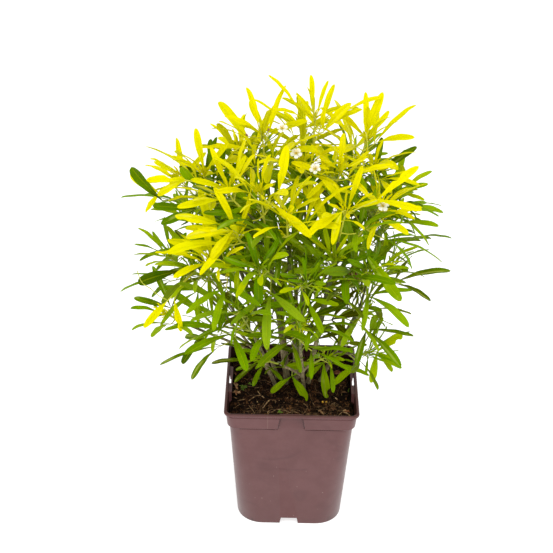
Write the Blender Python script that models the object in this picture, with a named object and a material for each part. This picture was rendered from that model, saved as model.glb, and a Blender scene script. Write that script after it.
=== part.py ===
"""Potted Mexican orange blossom (Choisya) in a 14 cm square nursery pot.

Metres, +Z up.  The origin is the middle of the pot's underside, which stands on z = 0.
The front of the pot faces -Y.
"""

import math
import random

import bmesh
import bpy
from mathutils import Quaternion, Vector
from mathutils.bvhtree import BVHTree
from mathutils.kdtree import KDTree

MM = 0.001
CM = 0.01
UP = Vector((0.0, 0.0, 1.0))
GAP = 0.3 * MM  # air between pieces that touch

# ---- pot ---------------------------------------------------------------------------------------
POT_H = 151.0 * MM
WALL = 1.2 * MM
FLOOR_T = 1.6 * MM
RIM_HALF = 70.0 * MM  # half of the width across the rolled rim
LIP_H = 3.1 * MM
RIM_IN = 66.8 * MM  # half of the clear width inside the rim
LABEL_SLOT = (16.0 * MM, 2.0 * MM, 2.2 * MM)
COLLAR_TOP_HALF = 68.0 * MM
COLLAR_LOW_HALF = 66.7 * MM
COLLAR_H = 18.9 * MM  # from the rim's top down to the collar's lower edge
STEP_H = 1.7 * MM  # height of the sloping step from the collar in to the body
BODY_TOP_HALF = 64.6 * MM
BASE_HALF = 56.4 * MM
RECESS_TOP = 64.4 * MM  # plane of the stacking recesses in the collar
FRONT_RECESS = (11.0 * MM, 14.0 * MM)  # half widths at the top and the bottom
SIDE_RECESS = (23.0 * MM, 25.0 * MM)
RECESS_SLOPE = 1.2 * MM
CORNER_STEPS = 4
NOTCH_LOW = 10.0 * MM  # half width of a drain channel at the ground
NOTCH_HIGH = 8.6 * MM
NOTCH_H = 7.9 * MM
NOTCH_IN = 31.0 * MM  # distance from the middle at which a channel ends
DRAIN_R = 4.0 * MM

# ---- soil --------------------------------------------------------------------------------------
SOIL_Z = POT_H - 13.0 * MM
SOCKET_DEPTH = 12.0 * MM

# ---- plant -------------------------------------------------------------------------------------
CROWN = Vector((0.5 * CM, 1.2 * CM, 20.0 * CM))  # inner point that the shoots lean away from
PAIR_STEPS = (2.5, 10.0, 26.0, 46.0)  # distance of each leaf pair below the shoot's tip, mm
PAIR_SPREAD = (30.0, 52.0, 68.0, 78.0)  # angle between leaf stalk and shoot, degrees
PAIR_BLADE = (40.0, 53.0, 57.0, 56.0)  # length of the middle leaflet, mm
PAIR_STALK = (6.0, 12.0, 17.0, 20.0)  # length of the leaf stalk, mm
BLADE_SLIM = 0.158  # width of a leaflet as a share of its length
WIDEST = 0.6  # where a leaflet is widest, as a share of its length
SHOOT_R = (1.25 * MM, 0.9 * MM)  # radius of a leafy shoot at its foot and at its tip
PETAL = 4.6 * MM  # length of a petal

# Each woody stem: name, foot on the soil in mm, radius at the foot in mm, and its shoots.
# A shoot: colour, tip in cm, number of leaf pairs, size of its leaves.
STEMS = (
    ("front_left", (-4, 12), 2.8, (
        ("gold", (-3.5, -7.5, 40.5), 3, 1.05),
        ("gold", (-6.5, -6.0, 40.0), 2, 1.10),
        ("gold", (-5.5, -9.5, 37.0), 2, 1.10),
        ("gold", (-8.0, -8.5, 34.0), 3, 1.00),
    )),
    ("left", (-12, 19), 2.6, (
        ("gold", (-9.0, -1.5, 39.5), 3, 1.00),
        ("gold", (-11.5, 2.0, 37.5), 3, 1.00),
        ("green", (-10.0, -6.0, 31.5), 4, 0.95),
        ("green", (-11.0, 4.0, 32.0), 3, 1.00),
    )),
    ("top_left", (-3, 24), 2.6, (
        ("gold", (-3.5, 0.0, 43.2), 3, 1.05),
        ("gold", (-6.0, 8.0, 38.0), 3, 1.00),
        ("green", (-4.5, -2.5, 34.5), 3, 0.95),
    )),
    ("top", (7, 20), 3.3, (
        ("gold", (1.6, 0.5, 44.8), 3, 1.05),
        ("gold", (0.5, -3.5, 42.0), 3, 1.00),
        ("gold", (4.0, -4.5, 41.5), 2, 0.85),
        ("gold", (0.5, 9.0, 40.0), 3, 1.00),
    )),
    ("top_right", (17, 25), 2.8, (
        ("gold", (6.8, 3.0, 41.6), 3, 1.05),
        ("gold", (7.5, -0.5, 40.0), 3, 0.85),
        ("green", (10.0, 1.5, 36.5), 3, 1.00),
        ("green", (6.0, 9.0, 36.5), 3, 1.00),
    )),
    ("front_right", (17, 13), 2.6, (
        ("gold", (4.5, -8.0, 39.0), 3, 1.00),
        ("gold", (8.0, -4.5, 38.0), 3, 1.05),
        ("green", (3.5, -8.5, 34.0), 3, 0.90),
        ("green", (7.0, -7.5, 32.5), 4, 1.05),
    )),
    ("front", (6, 9), 2.4, (
        ("gold", (-1.0, -9.0, 39.0), 3, 1.10),
        ("green", (1.0, -11.0, 33.0), 3, 0.70),
        ("green", (-3.5, -10.5, 34.0), 3, 1.00),
        ("green", (-0.5, -6.5, 34.5), 3, 0.95),
    )),
    ("low_left", (-14, 8), 2.2, (
        ("green", (-5.5, -9.5, 29.0), 4, 1.05),
        ("green", (-12.5, -1.5, 30.5), 3, 1.00),
        ("green", (-8.0, -5.0, 24.5), 3, 1.05),
        ("green", (-9.0, 2.5, 26.0), 2, 1.00),
        ("gold", (-12.5, -7.0, 27.0), 2, 1.00),
    )),
    ("low_right", (27, 17), 2.4, (
        ("green", (9.5, -2.0, 30.0), 4, 1.00),
        ("green", (9.5, 3.5, 32.5), 3, 1.00),
        ("green", (7.0, -6.0, 27.0), 3, 0.95),
        ("green", (7.5, -5.0, 21.5), 2, 0.90),
    )),
    ("low_front", (14, 2), 2.2, (
        ("green", (0.5, -10.5, 28.5), 4, 0.95),
        ("green", (-3.0, -5.0, 20.5), 2, 0.85),
        ("green", (3.5, -5.0, 21.0), 2, 0.85),
    )),
    ("back", (6, 32), 2.6, (
        ("green", (0.0, 11.0, 33.0), 3, 1.00),
        ("green", (-8.0, 7.5, 30.0), 3, 1.00),
        ("green", (8.0, 8.0, 30.0), 3, 1.00),
        ("green", (1.0, 9.5, 25.0), 2, 1.00),
    )),
)

# Each flower: the shoot that carries it, and where the flower opens, in cm.
FLOWERS = (
    ("gold_shoot_07", (-1.6, -2.6, 45.0)),
    ("gold_shoot_10", (-0.2, -5.2, 43.6)),
    ("gold_shoot_11", (1.6, -6.4, 42.6)),
    ("gold_shoot_16", (8.0, -7.0, 39.2)),
)

LOOKS = {  # colour, roughness
    "pot": ((0.200, 0.102, 0.101), 0.45),
    "soil": ((0.026, 0.016, 0.009), 0.95),
    "wood": ((0.230, 0.185, 0.115), 0.80),
    "gold": ((0.680, 0.640, 0.010), 0.42),
    "green": ((0.125, 0.230, 0.012), 0.40),
    "petal": ((0.800, 0.790, 0.700), 0.55),
}


# ---- common helpers ----------------------------------------------------------------------------
def material(kind):
    """The Principled material for one kind of surface, made once."""
    name = kind + "_surface"
    if name in bpy.data.materials:
        return bpy.data.materials[name]
    colour, rough = LOOKS[kind]
    look = bpy.data.materials.new(name)
    look.use_nodes = True
    shader = look.node_tree.nodes["Principled BSDF"]
    shader.inputs["Base Color"].default_value = (*colour, 1.0)
    shader.inputs["Roughness"].default_value = rough
    shader.inputs["Metallic"].default_value = 0.0
    return look


def finish(bm, name, kind, parent=None, smooth=None):
    """Turn a bmesh into a named object with its material."""
    bmesh.ops.triangulate(bm, faces=[f for f in bm.faces if len(f.verts) > 4])
    mesh = bpy.data.meshes.new(name)
    bm.to_mesh(mesh)
    bm.free()
    mesh.materials.append(material(kind))
    if smooth is not None:
        mesh.shade_smooth()
        mesh.set_sharp_from_angle(angle=math.radians(smooth))
    thing = bpy.data.objects.new(name, mesh)
    bpy.context.scene.collection.objects.link(thing)
    thing.parent = parent
    return thing


def loft(bm, rings):
    """Join rings of equal length with quads; returns the rings as vertices."""
    made = [[bm.verts.new(p) for p in ring] for ring in rings]
    for low, high in zip(made, made[1:]):
        n = len(low)
        for i in range(n):
            j = (i + 1) % n
            bm.faces.new((low[i], low[j], high[j], high[i]))
    return made


def cut(target, cutter, operation="DIFFERENCE"):
    """Let a hidden object cut the target, or be joined to it."""
    cutter.hide_render = True
    cutter.display_type = "WIRE"
    step = target.modifiers.new(cutter.name, "BOOLEAN")
    step.operation = operation
    step.solver = "EXACT"
    step.object = cutter


# ---- pot and soil ------------------------------------------------------------------------------
def outline(half, radius, z, recess=None, grow=0.0, level=0.0):
    """Rounded square, counter-clockwise, with two corner pairs on each side for the recesses.

    recess is the plane of the recesses, None where the side runs straight.  level is 0 at the
    recesses' top and 1 at their bottom, and grow widens them.
    """
    plane = half if recess is None else recess
    points = []
    for side in range(4):
        top, low = FRONT_RECESS if side % 2 == 0 else SIDE_RECESS
        w = top + (low - top) * level + grow
        local = [(-w - RECESS_SLOPE, half), (-w, plane), (w, plane), (w + RECESS_SLOPE, half)]
        middle = half - radius
        for i in range(CORNER_STEPS + 1):
            a = math.radians(90.0 * i / CORNER_STEPS)
            local.append((middle + radius * math.sin(a), middle + radius * math.cos(a)))
        turn = Quaternion(UP, math.radians(90.0 * side))
        points += [turn @ Vector((t, -out, z)) for t, out in local]
    return points


def pot_rings():
    """The pot's skin as rings, from the edge of its underside over the rim to its inner floor."""
    top = POT_H
    step_z = top - COLLAR_H
    inside = RECESS_TOP - WALL
    return [
        outline(BASE_HALF - 1.1 * MM, 27.0 * MM, 0.0, level=1.0),
        outline(BASE_HALF, 28.0 * MM, 1.3 * MM, level=1.0),
        outline(BODY_TOP_HALF, 14.5 * MM, step_z - STEP_H, level=1.0),
        outline(COLLAR_LOW_HALF, 11.0 * MM, step_z, BODY_TOP_HALF, level=1.0),
        outline(COLLAR_TOP_HALF, 9.0 * MM, top - LIP_H - 0.1 * MM, RECESS_TOP),
        outline(RIM_HALF - 0.3 * MM, 8.6 * MM, top - LIP_H),
        outline(RIM_HALF, 8.2 * MM, top - 1.2 * MM),
        outline(RIM_HALF - 1.0 * MM, 7.4 * MM, top),
        outline(RIM_IN + 0.9 * MM, 6.2 * MM, top),
        outline(RIM_IN, 6.2 * MM, top - 0.9 * MM),
        outline(RIM_IN, 7.0 * MM, top - 1.9 * MM, grow=WALL),
        outline(RIM_IN, 7.2 * MM, top - 2.1 * MM, inside, grow=WALL),
        outline(COLLAR_LOW_HALF - WALL, 9.8 * MM, step_z + 0.6 * MM, BODY_TOP_HALF - WALL,
                grow=WALL, level=1.0),
        outline(BODY_TOP_HALF - WALL, 13.3 * MM, step_z - STEP_H + 0.6 * MM, grow=WALL, level=1.0),
        outline(BASE_HALF - WALL, 26.8 * MM, FLOOR_T, grow=WALL, level=1.0),
    ]


def channel(bm, grow, inner, outer, bottom):
    """The drain channels' trapezoid, grown all round, as a bar along each side's middle line."""
    def width(z):
        return NOTCH_LOW - (NOTCH_LOW - NOTCH_HIGH) * z / NOTCH_H + grow

    top = NOTCH_H + grow
    for side in range(4):
        turn = Quaternion(UP, math.radians(90.0 * side))
        rings = []
        for out in (inner, outer):
            corners = ((-width(bottom), bottom), (width(bottom), bottom),
                       (width(top), top), (-width(top), top))
            rings.append([turn @ Vector((t, -out, z)) for t, z in corners])
        a, b = loft(bm, rings)
        bm.faces.new(a[::-1])
        bm.faces.new(b)


def box(bm, centre, size, side):
    """A box turned to one of the pot's four sides."""
    turn = Quaternion(UP, math.radians(90.0 * side))
    made = bmesh.ops.create_cube(bm, size=1.0)["verts"]
    for v in made:
        v.co = turn @ (Vector(centre) + Vector((v.co.x * size[0], v.co.y * size[1], v.co.z * size[2])))


def make_pot(parent):
    bm = bmesh.new()
    rings = loft(bm, pot_rings())
    bm.faces.new(rings[0][::-1])
    bm.faces.new(rings[-1])
    pot = finish(bm, "pot", "pot", parent, smooth=35.0)

    bm = bmesh.new()
    channel(bm, WALL, NOTCH_IN - WALL, BASE_HALF - 0.9 * MM, 0.8 * MM)
    cut(pot, finish(bm, "channel_humps", "pot", parent), "UNION")

    bm = bmesh.new()
    channel(bm, 0.0, NOTCH_IN, BASE_HALF + 4.0 * MM, -2.0 * MM)
    cut(pot, finish(bm, "channel_cutters", "pot", parent))

    bm = bmesh.new()
    for side in range(4):
        box(bm, (0.0, -(RECESS_TOP + 1.15 * MM), POT_H - 2.6 * MM), LABEL_SLOT, side)
    cut(pot, finish(bm, "label_slot_cutters", "pot", parent))

    bm = bmesh.new()
    for k in range(4):
        turn = Quaternion(UP, math.radians(90.0 * k))
        for spot in ((0.0, -38.0 * MM, NOTCH_H + 0.5 * WALL), (29.0 * MM, -29.0 * MM, 1.0 * MM)):
            made = bmesh.ops.create_cone(
                bm, cap_ends=True, segments=10, radius1=DRAIN_R, radius2=DRAIN_R, depth=6.0 * MM)
            for v in made["verts"]:
                v.co = turn @ (v.co + Vector(spot))
    cut(pot, finish(bm, "drain_hole_cutters", "pot", parent))
    return pot


def soil_height(x, y):
    """Gently uneven surface, a little higher round the stems."""
    heap = 2.2 * MM * math.exp(-((x - 0.7 * CM) ** 2 + (y - 1.6 * CM) ** 2) / (3.0 * CM) ** 2)
    wave = 0.7 * MM * math.sin(x * 95.0 + 0.6) * math.cos(y * 80.0 + 1.1)
    return SOIL_Z + heap + wave


def make_soil(parent, feet):
    inside = RECESS_TOP - WALL - GAP
    step_z = POT_H - COLLAR_H
    wide = WALL + GAP
    rings = [
        outline(BASE_HALF - WALL - GAP, 26.5 * MM, FLOOR_T + GAP, grow=wide, level=1.0),
        outline(BODY_TOP_HALF - WALL - GAP, 13.0 * MM, step_z - STEP_H + 0.9 * MM,
                grow=wide + 0.8 * MM, level=1.0),
        outline(COLLAR_LOW_HALF - WALL - GAP, 9.5 * MM, step_z + 0.9 * MM,
                BODY_TOP_HALF - WALL - GAP, grow=wide + 0.8 * MM, level=1.0),
        outline(65.4 * MM, 9.0 * MM, SOIL_Z, inside, grow=wide, level=0.8),
    ]
    rings.append([Vector((p.x * 0.6, p.y * 0.6, p.z)) for p in rings[3]])
    for ring in rings[3:]:
        for p in ring:
            p.z = soil_height(p.x, p.y)
    bm = bmesh.new()
    made = loft(bm, rings)
    bm.faces.new(made[0][::-1])
    cap = bm.faces.new(made[-1])
    middle = bmesh.ops.poke(bm, faces=[cap])["verts"][0]
    middle.co.z = soil_height(middle.co.x, middle.co.y)
    soil = finish(bm, "potting_soil", "soil", parent, smooth=40.0)

    bm = bmesh.new()
    channel(bm, wide, NOTCH_IN - wide, BASE_HALF + 2.0 * MM, -2.0 * MM)
    cut(soil, finish(bm, "soil_channel_cutters", "soil", parent))

    bm = bmesh.new()
    for path, radius in feet:
        low = path.frame(0.0)
        high = path.frame(SOCKET_DEPTH + 4.0 * MM)
        tube = [section(low[0] - UP * GAP, low[1], low[2], radius + 2 * GAP, 6),
                section(high[0], high[1], high[2], radius + 2 * GAP, 6)]
        a, b = loft(bm, tube)
        bm.faces.new(a[::-1])
        bm.faces.new(b)
    cut(soil, finish(bm, "stem_socket_cutters", "soil", parent))
    return soil


# ---- stems -------------------------------------------------------------------------------------
class Path:
    """A smooth curve with a frame carried along it without twist."""

    def __init__(self, start, start_dir, end, end_dir, stiff=0.36, roll=0.0, steps=60):
        reach = (end - start).length * stiff
        a = start + start_dir.normalized() * reach
        b = end - end_dir.normalized() * reach
        self.points = []
        for i in range(steps + 1):
            t = i / steps
            u = 1.0 - t
            self.points.append(start * u ** 3 + a * 3 * u * u * t + b * 3 * u * t * t + end * t ** 3)
        self.lengths = [0.0]
        for p, q in zip(self.points, self.points[1:]):
            self.lengths.append(self.lengths[-1] + (q - p).length)
        self.length = self.lengths[-1]
        ways = [(q - p).normalized() for p, q in zip(self.points, self.points[1:])]
        ways.append(ways[-1])
        side = ways[0].orthogonal().normalized()
        side = Quaternion(ways[0], roll) @ side
        self.ways = ways
        self.sides = [side]
        for old, new in zip(ways, ways[1:]):
            side = old.rotation_difference(new) @ side
            side = (side - new * side.dot(new)).normalized()
            self.sides.append(side)

    def frame(self, s):
        """Point, right, up and forward at the distance s along the curve."""
        s = min(max(s, 0.0), self.length)
        i = 0
        while i < len(self.points) - 2 and self.lengths[i + 1] < s:
            i += 1
        span = self.lengths[i + 1] - self.lengths[i]
        t = (s - self.lengths[i]) / span
        point = self.points[i].lerp(self.points[i + 1], t)
        way = self.ways[i].lerp(self.ways[i + 1], t).normalized()
        side = self.sides[i].lerp(self.sides[i + 1], t)
        side = (side - way * side.dot(way)).normalized()
        return point, side, way.cross(side), way


def section(centre, side, up, radius, count):
    """Corners of a regular section, counter-clockwise seen against the growing direction."""
    turn = math.pi / count
    return [centre + side * (radius * math.cos(turn + i * math.tau / count))
            + up * (radius * math.sin(turn + i * math.tau / count)) for i in range(count)]


def sprout(bm, points):
    """First section of a tube: a face looking back, and the corners that it grows on from."""
    ring = [bm.verts.new(p) for p in points]
    bm.faces.new(ring[::-1])
    return ring


def extend(bm, cap, points):
    """Grow a face, or an open ring, on to new corners; returns the new cap and its side faces."""
    if isinstance(cap, bmesh.types.BMFace):
        old = list(cap.verts)
        bm.faces.remove(cap)
    else:
        old = cap
    ring = [bm.verts.new(p) for p in points]
    n = len(ring)
    sides = [bm.faces.new((old[i], old[(i + 1) % n], ring[(i + 1) % n], ring[i])) for i in range(n)]
    return bm.faces.new(ring), sides


def matched(face, corners):
    """Turn a list of four corners so that they twist least against the face's own."""
    old = [v.co for v in face.verts]
    mid = sum(old, Vector()) / len(old)
    new_mid = sum(corners, Vector()) / len(corners)
    arms = [(p - mid).normalized() for p in old]

    def twist(shift):
        return sum(arm.dot((corners[(i + shift) % 4] - new_mid).normalized())
                   for i, arm in enumerate(arms))

    best = max(range(4), key=twist)
    return [corners[(i + best) % 4] for i in range(4)]


def outward(tip):
    """Direction in which a shoot points at its tip: away from the plant's middle, and up."""
    away = (tip - CROWN).normalized()
    return (away + UP * 0.45).normalized()


class Shoot:
    """A leafy end of a branch: its curve, where it starts on it, and its name."""

    def __init__(self, name, kind, path, start, pairs, size, number):
        self.name = name
        self.kind = kind
        self.path = path
        self.start = start
        self.pairs = pairs
        self.size = size
        self.number = number
        self.leaves = []

    def radius(self, s):
        share = (s - self.start) / max(self.path.length - self.start, 1e-6)
        return SHOOT_R[0] + (SHOOT_R[1] - SHOOT_R[0]) * share

    def node(self, pair):
        return self.path.length - PAIR_STEPS[pair] * MM * (0.8 + 0.2 * self.size) - 1.5 * MM


def leafy_length(pairs, size):
    return PAIR_STEPS[pairs - 1] * MM * (0.8 + 0.2 * size) + 14.0 * MM


class Wood:
    """Points along every stem laid so far, to keep later branches clear of them."""

    def __init__(self):
        self.spots = []

    def add(self, path, thick, owner):
        for i, point in enumerate(path.points):
            share = path.lengths[i] / path.length
            self.spots.append((point, thick + (SHOOT_R[1] - thick) * share, owner))
        self.tree = KDTree(len(self.spots))
        for i, spot in enumerate(self.spots):
            self.tree.insert(spot[0], i)
        self.tree.balance()

    def shortfall(self, path, thick, fork, owner):
        """How far a branch comes too near to older wood, in metres; its own fork is left out."""
        worst = 0.0
        for point in path.points[::2]:
            near_fork = (point - fork).length < 8.0 * MM
            for _, i, away in self.tree.find_range(point, 8.0 * MM):
                if near_fork and self.spots[i][2] == owner:
                    continue
                worst = max(worst, thick + self.spots[i][1] + 1.0 * MM - away)
        return worst


def plan_stems():
    """Work out every stem's curve, its forks and the shoots at its ends."""
    wood = Wood()
    mains = []
    for index, (name, foot, radius, tips) in enumerate(STEMS):
        fx, fy = foot[0] * MM, foot[1] * MM
        start = Vector((fx, fy, soil_height(fx, fy) - SOCKET_DEPTH + GAP))
        tip = Vector(tips[0][1]) * CM
        lean = Vector((tip.x - fx, tip.y - fy, 0.0)) * 0.9
        main = Path(start, UP + lean / max(tip.z - start.z, 0.05), tip, outward(tip), roll=0.7 * index)
        wood.add(main, radius * MM, name)
        mains.append(main)

    stems = []
    shoots = []
    count = {"gold": 0, "green": 0}
    for main, (name, foot, radius, tips) in zip(mains, STEMS):
        forks = []
        for order, (kind, tip, pairs, size) in enumerate(tips):
            tip = Vector(tip) * CM
            number = len(shoots) + 1
            count[kind] += 1
            label = f"{kind}_shoot_{count[kind]:02d}"
            leafy = leafy_length(pairs, size)
            if order == 0:
                end = main.length - leafy
                shoots.append(Shoot(label, kind, main, end + GAP, pairs, size, number))
                main_end = end
                continue
            best = None
            for k in range(24):
                s = SOCKET_DEPTH + 14 * MM + (main_end - SOCKET_DEPTH - 22 * MM) * k / 23.0
                if any(abs(s - f[0]) < 7.5 * MM for f in forks):
                    continue
                point, _, _, way = main.frame(s)
                reach = tip - point
                first = (way * 0.35 + reach.normalized() * 0.75).normalized()
                for stiff in (0.36, 0.22, 0.5):
                    branch = Path(point, first, tip, outward(tip), stiff, roll=1.3 * number)
                    score = abs(math.degrees(way.angle(reach)) - 42.0)
                    score += max(0.0, leafy + 11.0 * MM - branch.length) * 200000.0
                    score += wood.shortfall(branch, 1.5 * MM, point, name) * 60000.0
                    if best is None or score < best[0]:
                        best = (score, s, branch)
            _, s, branch = best
            end = max(branch.length - leafy, 10.0 * MM)
            wood.add(branch, 1.5 * MM, label)
            forks.append((s, branch, end))
            shoots.append(Shoot(label, kind, branch, end + GAP, pairs, size, number))
        stems.append((name, main, radius * MM, main_end, sorted(forks, key=lambda f: f[0])))
    return stems, shoots


def clear_of(main, branch, s, room):
    """Distance along a branch at which it has left its stem's bark behind."""
    t = 4.0 * MM
    while t < 20.0 * MM:
        point = branch.frame(t)[0]
        near = min((main.frame(s + k * MM)[0] - point).length for k in range(-2, 22))
        if near > room:
            break
        t += 0.5 * MM
    return t


def make_stem(parent, name, main, radius, end, forks):
    """One woody stem with its forks, as one body."""
    tip_r = SHOOT_R[0] * 1.15

    def thick(s):
        return radius + (tip_r * 1.15 - radius) * (s / end) ** 0.8

    stops = {0.0: None, SOCKET_DEPTH: None, end: None}
    for s, branch, cut_at in forks:
        half = 1.35 * SHOOT_R[0]
        stops[s - half] = None
        stops[s + half] = (branch, cut_at)
    marks = sorted(stops)
    fill = []
    for a, b in zip(marks, marks[1:]):
        pieces = int((b - a) / (34.0 * MM))
        fill += [a + (b - a) * k / (pieces + 1) for k in range(1, pieces + 1)]
    for s in fill:
        stops[s] = None

    bm = bmesh.new()
    marks = sorted(stops)
    point, side, up, _ = main.frame(marks[0])
    cap = sprout(bm, section(point, side, up, thick(0.0), 6))
    for s in marks[1:]:
        point, side, up, _ = main.frame(s)
        cap, sides = extend(bm, cap, section(point, side, up, thick(s), 6))
        if stops[s] is None:
            continue
        branch, cut_at = stops[s]
        first = branch.frame(6.0 * MM)[0] - point
        face = max(sides, key=lambda f: (f.calc_center_median() - point).normalized().dot(first))
        reach = cut_at - 6.0 * MM
        steps = max(1, int(reach / (26.0 * MM)) + 1)
        begin = clear_of(main, branch, s, thick(s) + 1.2 * tip_r + 0.5 * MM)
        for k in range(steps + 1):
            t = begin + (cut_at - begin) * k / steps
            p, sd, u, _ = branch.frame(t)
            r = tip_r * (1.2 - 0.2 * t / cut_at)
            face, _ = extend(bm, face, matched(face, section(p, sd, u, r, 4)))
    return finish(bm, f"woody_stem_{name}", "wood", parent, smooth=50.0)


# ---- leaves ------------------------------------------------------------------------------------
class Leaf:
    """A palmate leaf: a stalk with three leaflets at its end."""

    def __init__(self, root, stalk_dir, normal, stalk, blade, fan, droop, arch):
        self.way = stalk_dir.normalized()
        self.up = (normal - self.way * normal.dot(self.way)).normalized()
        self.side = self.up.cross(self.way)
        self.root = root
        self.hub = root + self.way * stalk
        self.blades = []
        bend = Quaternion(self.side, math.radians(droop))
        for turn, share in ((0.0, 1.0), (fan, 0.84), (-fan, 0.84)):
            spin = Quaternion(self.up, math.radians(turn))
            way = bend @ (spin @ self.way)
            side = spin @ self.side
            up = way.cross(side)
            up = up if up.dot(self.up) > 0 else -up
            self.blades.append((way, side, up, blade * share, arch))

    def blade_points(self, base, blade, swell=0.0):
        """Left edge, right edge, keel and tip of one leaflet."""
        way, side, up, length, arch = blade
        mid = base + way * (length * WIDEST) + up * (length * arch)
        half = length * BLADE_SLIM * 0.5
        left = mid - side * (half + swell) + up * (0.05 * length * 0.3 + swell * 0.7)
        right = mid + side * (half + swell) + up * (0.05 * length * 0.3 + swell * 0.7)
        keel = mid - up * (0.9 * MM + swell)
        tip = base + way * (length + swell) - up * (length * 0.03)
        return left, right, keel, tip

    def trial(self):
        """Slightly swollen stand-in for the leaf, for testing whether it has room."""
        verts = []
        faces = []
        thin = 0.9 * MM
        for blade in self.blades:
            way, side, up, _, _ = blade
            base = self.hub + way * (0.6 * MM)
            left, right, keel, tip = self.blade_points(base, blade, 0.45 * MM)
            n = len(verts)
            verts += [base + up * thin - side * thin, base + up * thin + side * thin,
                      base - up * thin, left, right, keel, tip]
            faces += [(n, n + 1, n + 4), (n, n + 4, n + 3), (n + 1, n + 2, n + 5), (n + 1, n + 5, n + 4),
                      (n + 2, n, n + 3), (n + 2, n + 3, n + 5), (n + 3, n + 4, n + 6),
                      (n + 4, n + 5, n + 6), (n + 5, n + 3, n + 6)]
        hands = (verts, faces)
        a = self.root + self.way * (2.2 * MM)
        arm = [a + self.side * thin, a + self.up * thin, a - self.side * thin, a - self.up * thin]
        arm += [p + (self.hub - a) for p in arm]
        rod = [(i, (i + 1) % 4, 4 + (i + 1) % 4, 4 + i) for i in range(4)]
        return hands, (arm, rod)


class Space:
    """Everything that already stands, so that new leaves grow round it."""

    def __init__(self):
        self.things = []

    def add(self, owner, verts, faces):
        tree = BVHTree.FromPolygons([tuple(v) for v in verts], faces)
        low = [min(v[i] for v in verts) for i in range(3)]
        high = [max(v[i] for v in verts) for i in range(3)]
        self.things.append((owner, low, high, tree))

    def add_object(self, thing):
        mesh = thing.data
        self.add(thing.name, [v.co.copy() for v in mesh.vertices],
                 [tuple(p.vertices) for p in mesh.polygons])

    def blocked(self, verts, faces, but=None):
        low = [min(v[i] for v in verts) for i in range(3)]
        high = [max(v[i] for v in verts) for i in range(3)]
        tree = None
        for owner, lo, hi, other in self.things:
            if owner == but:
                continue
            if any(lo[i] > high[i] or hi[i] < low[i] for i in range(3)):
                continue
            if tree is None:
                tree = BVHTree.FromPolygons([tuple(v) for v in verts], faces)
            if tree.overlap(other):
                return True
        return False


def face_dir(path, s, side):
    """Outward direction of one of the four flanks of a shoot."""
    _, right, up, _ = path.frame(s)
    return (up, -right, -up, right)[side]


def try_leaf(shoot, pair, flank, rng, calm):
    """A leaf for one flank of one node; calm is 1 for the ideal pose and falls with each retry."""
    s = shoot.node(pair)
    point, _, _, way = shoot.path.frame(s)
    out = face_dir(shoot.path, s, flank)
    loose = 1.0 - calm
    spread = math.radians(PAIR_SPREAD[pair] + rng.uniform(-9, 9) + rng.uniform(-28, 22) * loose)
    swing = Quaternion(way, math.radians(rng.uniform(-12, 12) + rng.uniform(-38, 38) * loose))
    out = swing @ out
    stalk_dir = way * math.cos(spread) + out * math.sin(spread)
    face_up = UP * 0.75 + way * 0.55
    normal = face_up - stalk_dir * face_up.dot(stalk_dir)
    if normal.length < 0.2:
        normal = way - stalk_dir * way.dot(stalk_dir)
    normal = Quaternion(stalk_dir, math.radians(rng.uniform(-16, 16) + rng.uniform(-40, 40) * loose)) @ normal
    scale = shoot.size * (1.0 - 0.30 * loose * rng.random())
    root = point + out * (shoot.radius(s) * 0.7)
    return Leaf(
        root, stalk_dir, normal,
        stalk=PAIR_STALK[pair] * MM * scale * rng.uniform(0.85, 1.2),
        blade=PAIR_BLADE[pair] * MM * scale * rng.uniform(0.88, 1.12),
        fan=rng.uniform(44, 60),
        droop=-rng.uniform(0, 10) - 4.0 * pair,
        arch=rng.uniform(0.035, 0.075),
    )


def plan_leaves(shoots, space):
    """Give each shoot its leaves, from the outermost shoots in, wherever a leaf finds room."""
    rng = random.Random(41)
    floor = POT_H - 11.0 * MM
    for shoot in sorted(shoots, key=lambda sh: -(sh.path.points[-1] - CROWN).length):
        for pair in range(shoot.pairs):
            turn = (pair + shoot.number) % 2
            for flank in (turn, turn + 2):
                for attempt in range(60):
                    calm = max(0.0, 1.0 - attempt / 25.0)
                    leaf = try_leaf(shoot, pair, flank, rng, calm)
                    hands, arm = leaf.trial()
                    if min(v.z for v in hands[0]) < floor:
                        continue
                    if space.blocked(*hands) or space.blocked(*arm, but=shoot.name):
                        continue
                    space.add(shoot.name, *hands)
                    space.add(shoot.name, *arm)
                    shoot.leaves.append((pair, flank, leaf))
                    break


def grow_blade(bm, face, side, up, points):
    """Turn one face into a leaflet or petal: a keeled kite through left, right, keel and tip."""
    base = face.calc_center_median()
    lt, lb, rb, rt = (base - side + up, base - side - up, base + side - up, base + side + up)
    order = matched(face, [lt, lb, rb, rt])
    old = list(face.verts)
    bm.faces.remove(face)
    vl, vr, vk, vt = (bm.verts.new(p) for p in points)
    new = []
    for p in order:
        if p is lt:
            new.append(vl)
        elif p is rt:
            new.append(vr)
        else:
            new.append(vk)
    for i in range(4):
        j = (i + 1) % 4
        corners = [old[i], old[j], new[j]]
        if new[i] is not new[j]:
            corners.append(new[i])
        bm.faces.new(corners)
    for a, b in ((vl, vk), (vk, vr), (vr, vl)):
        bm.faces.new((a, b, vt))


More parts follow.
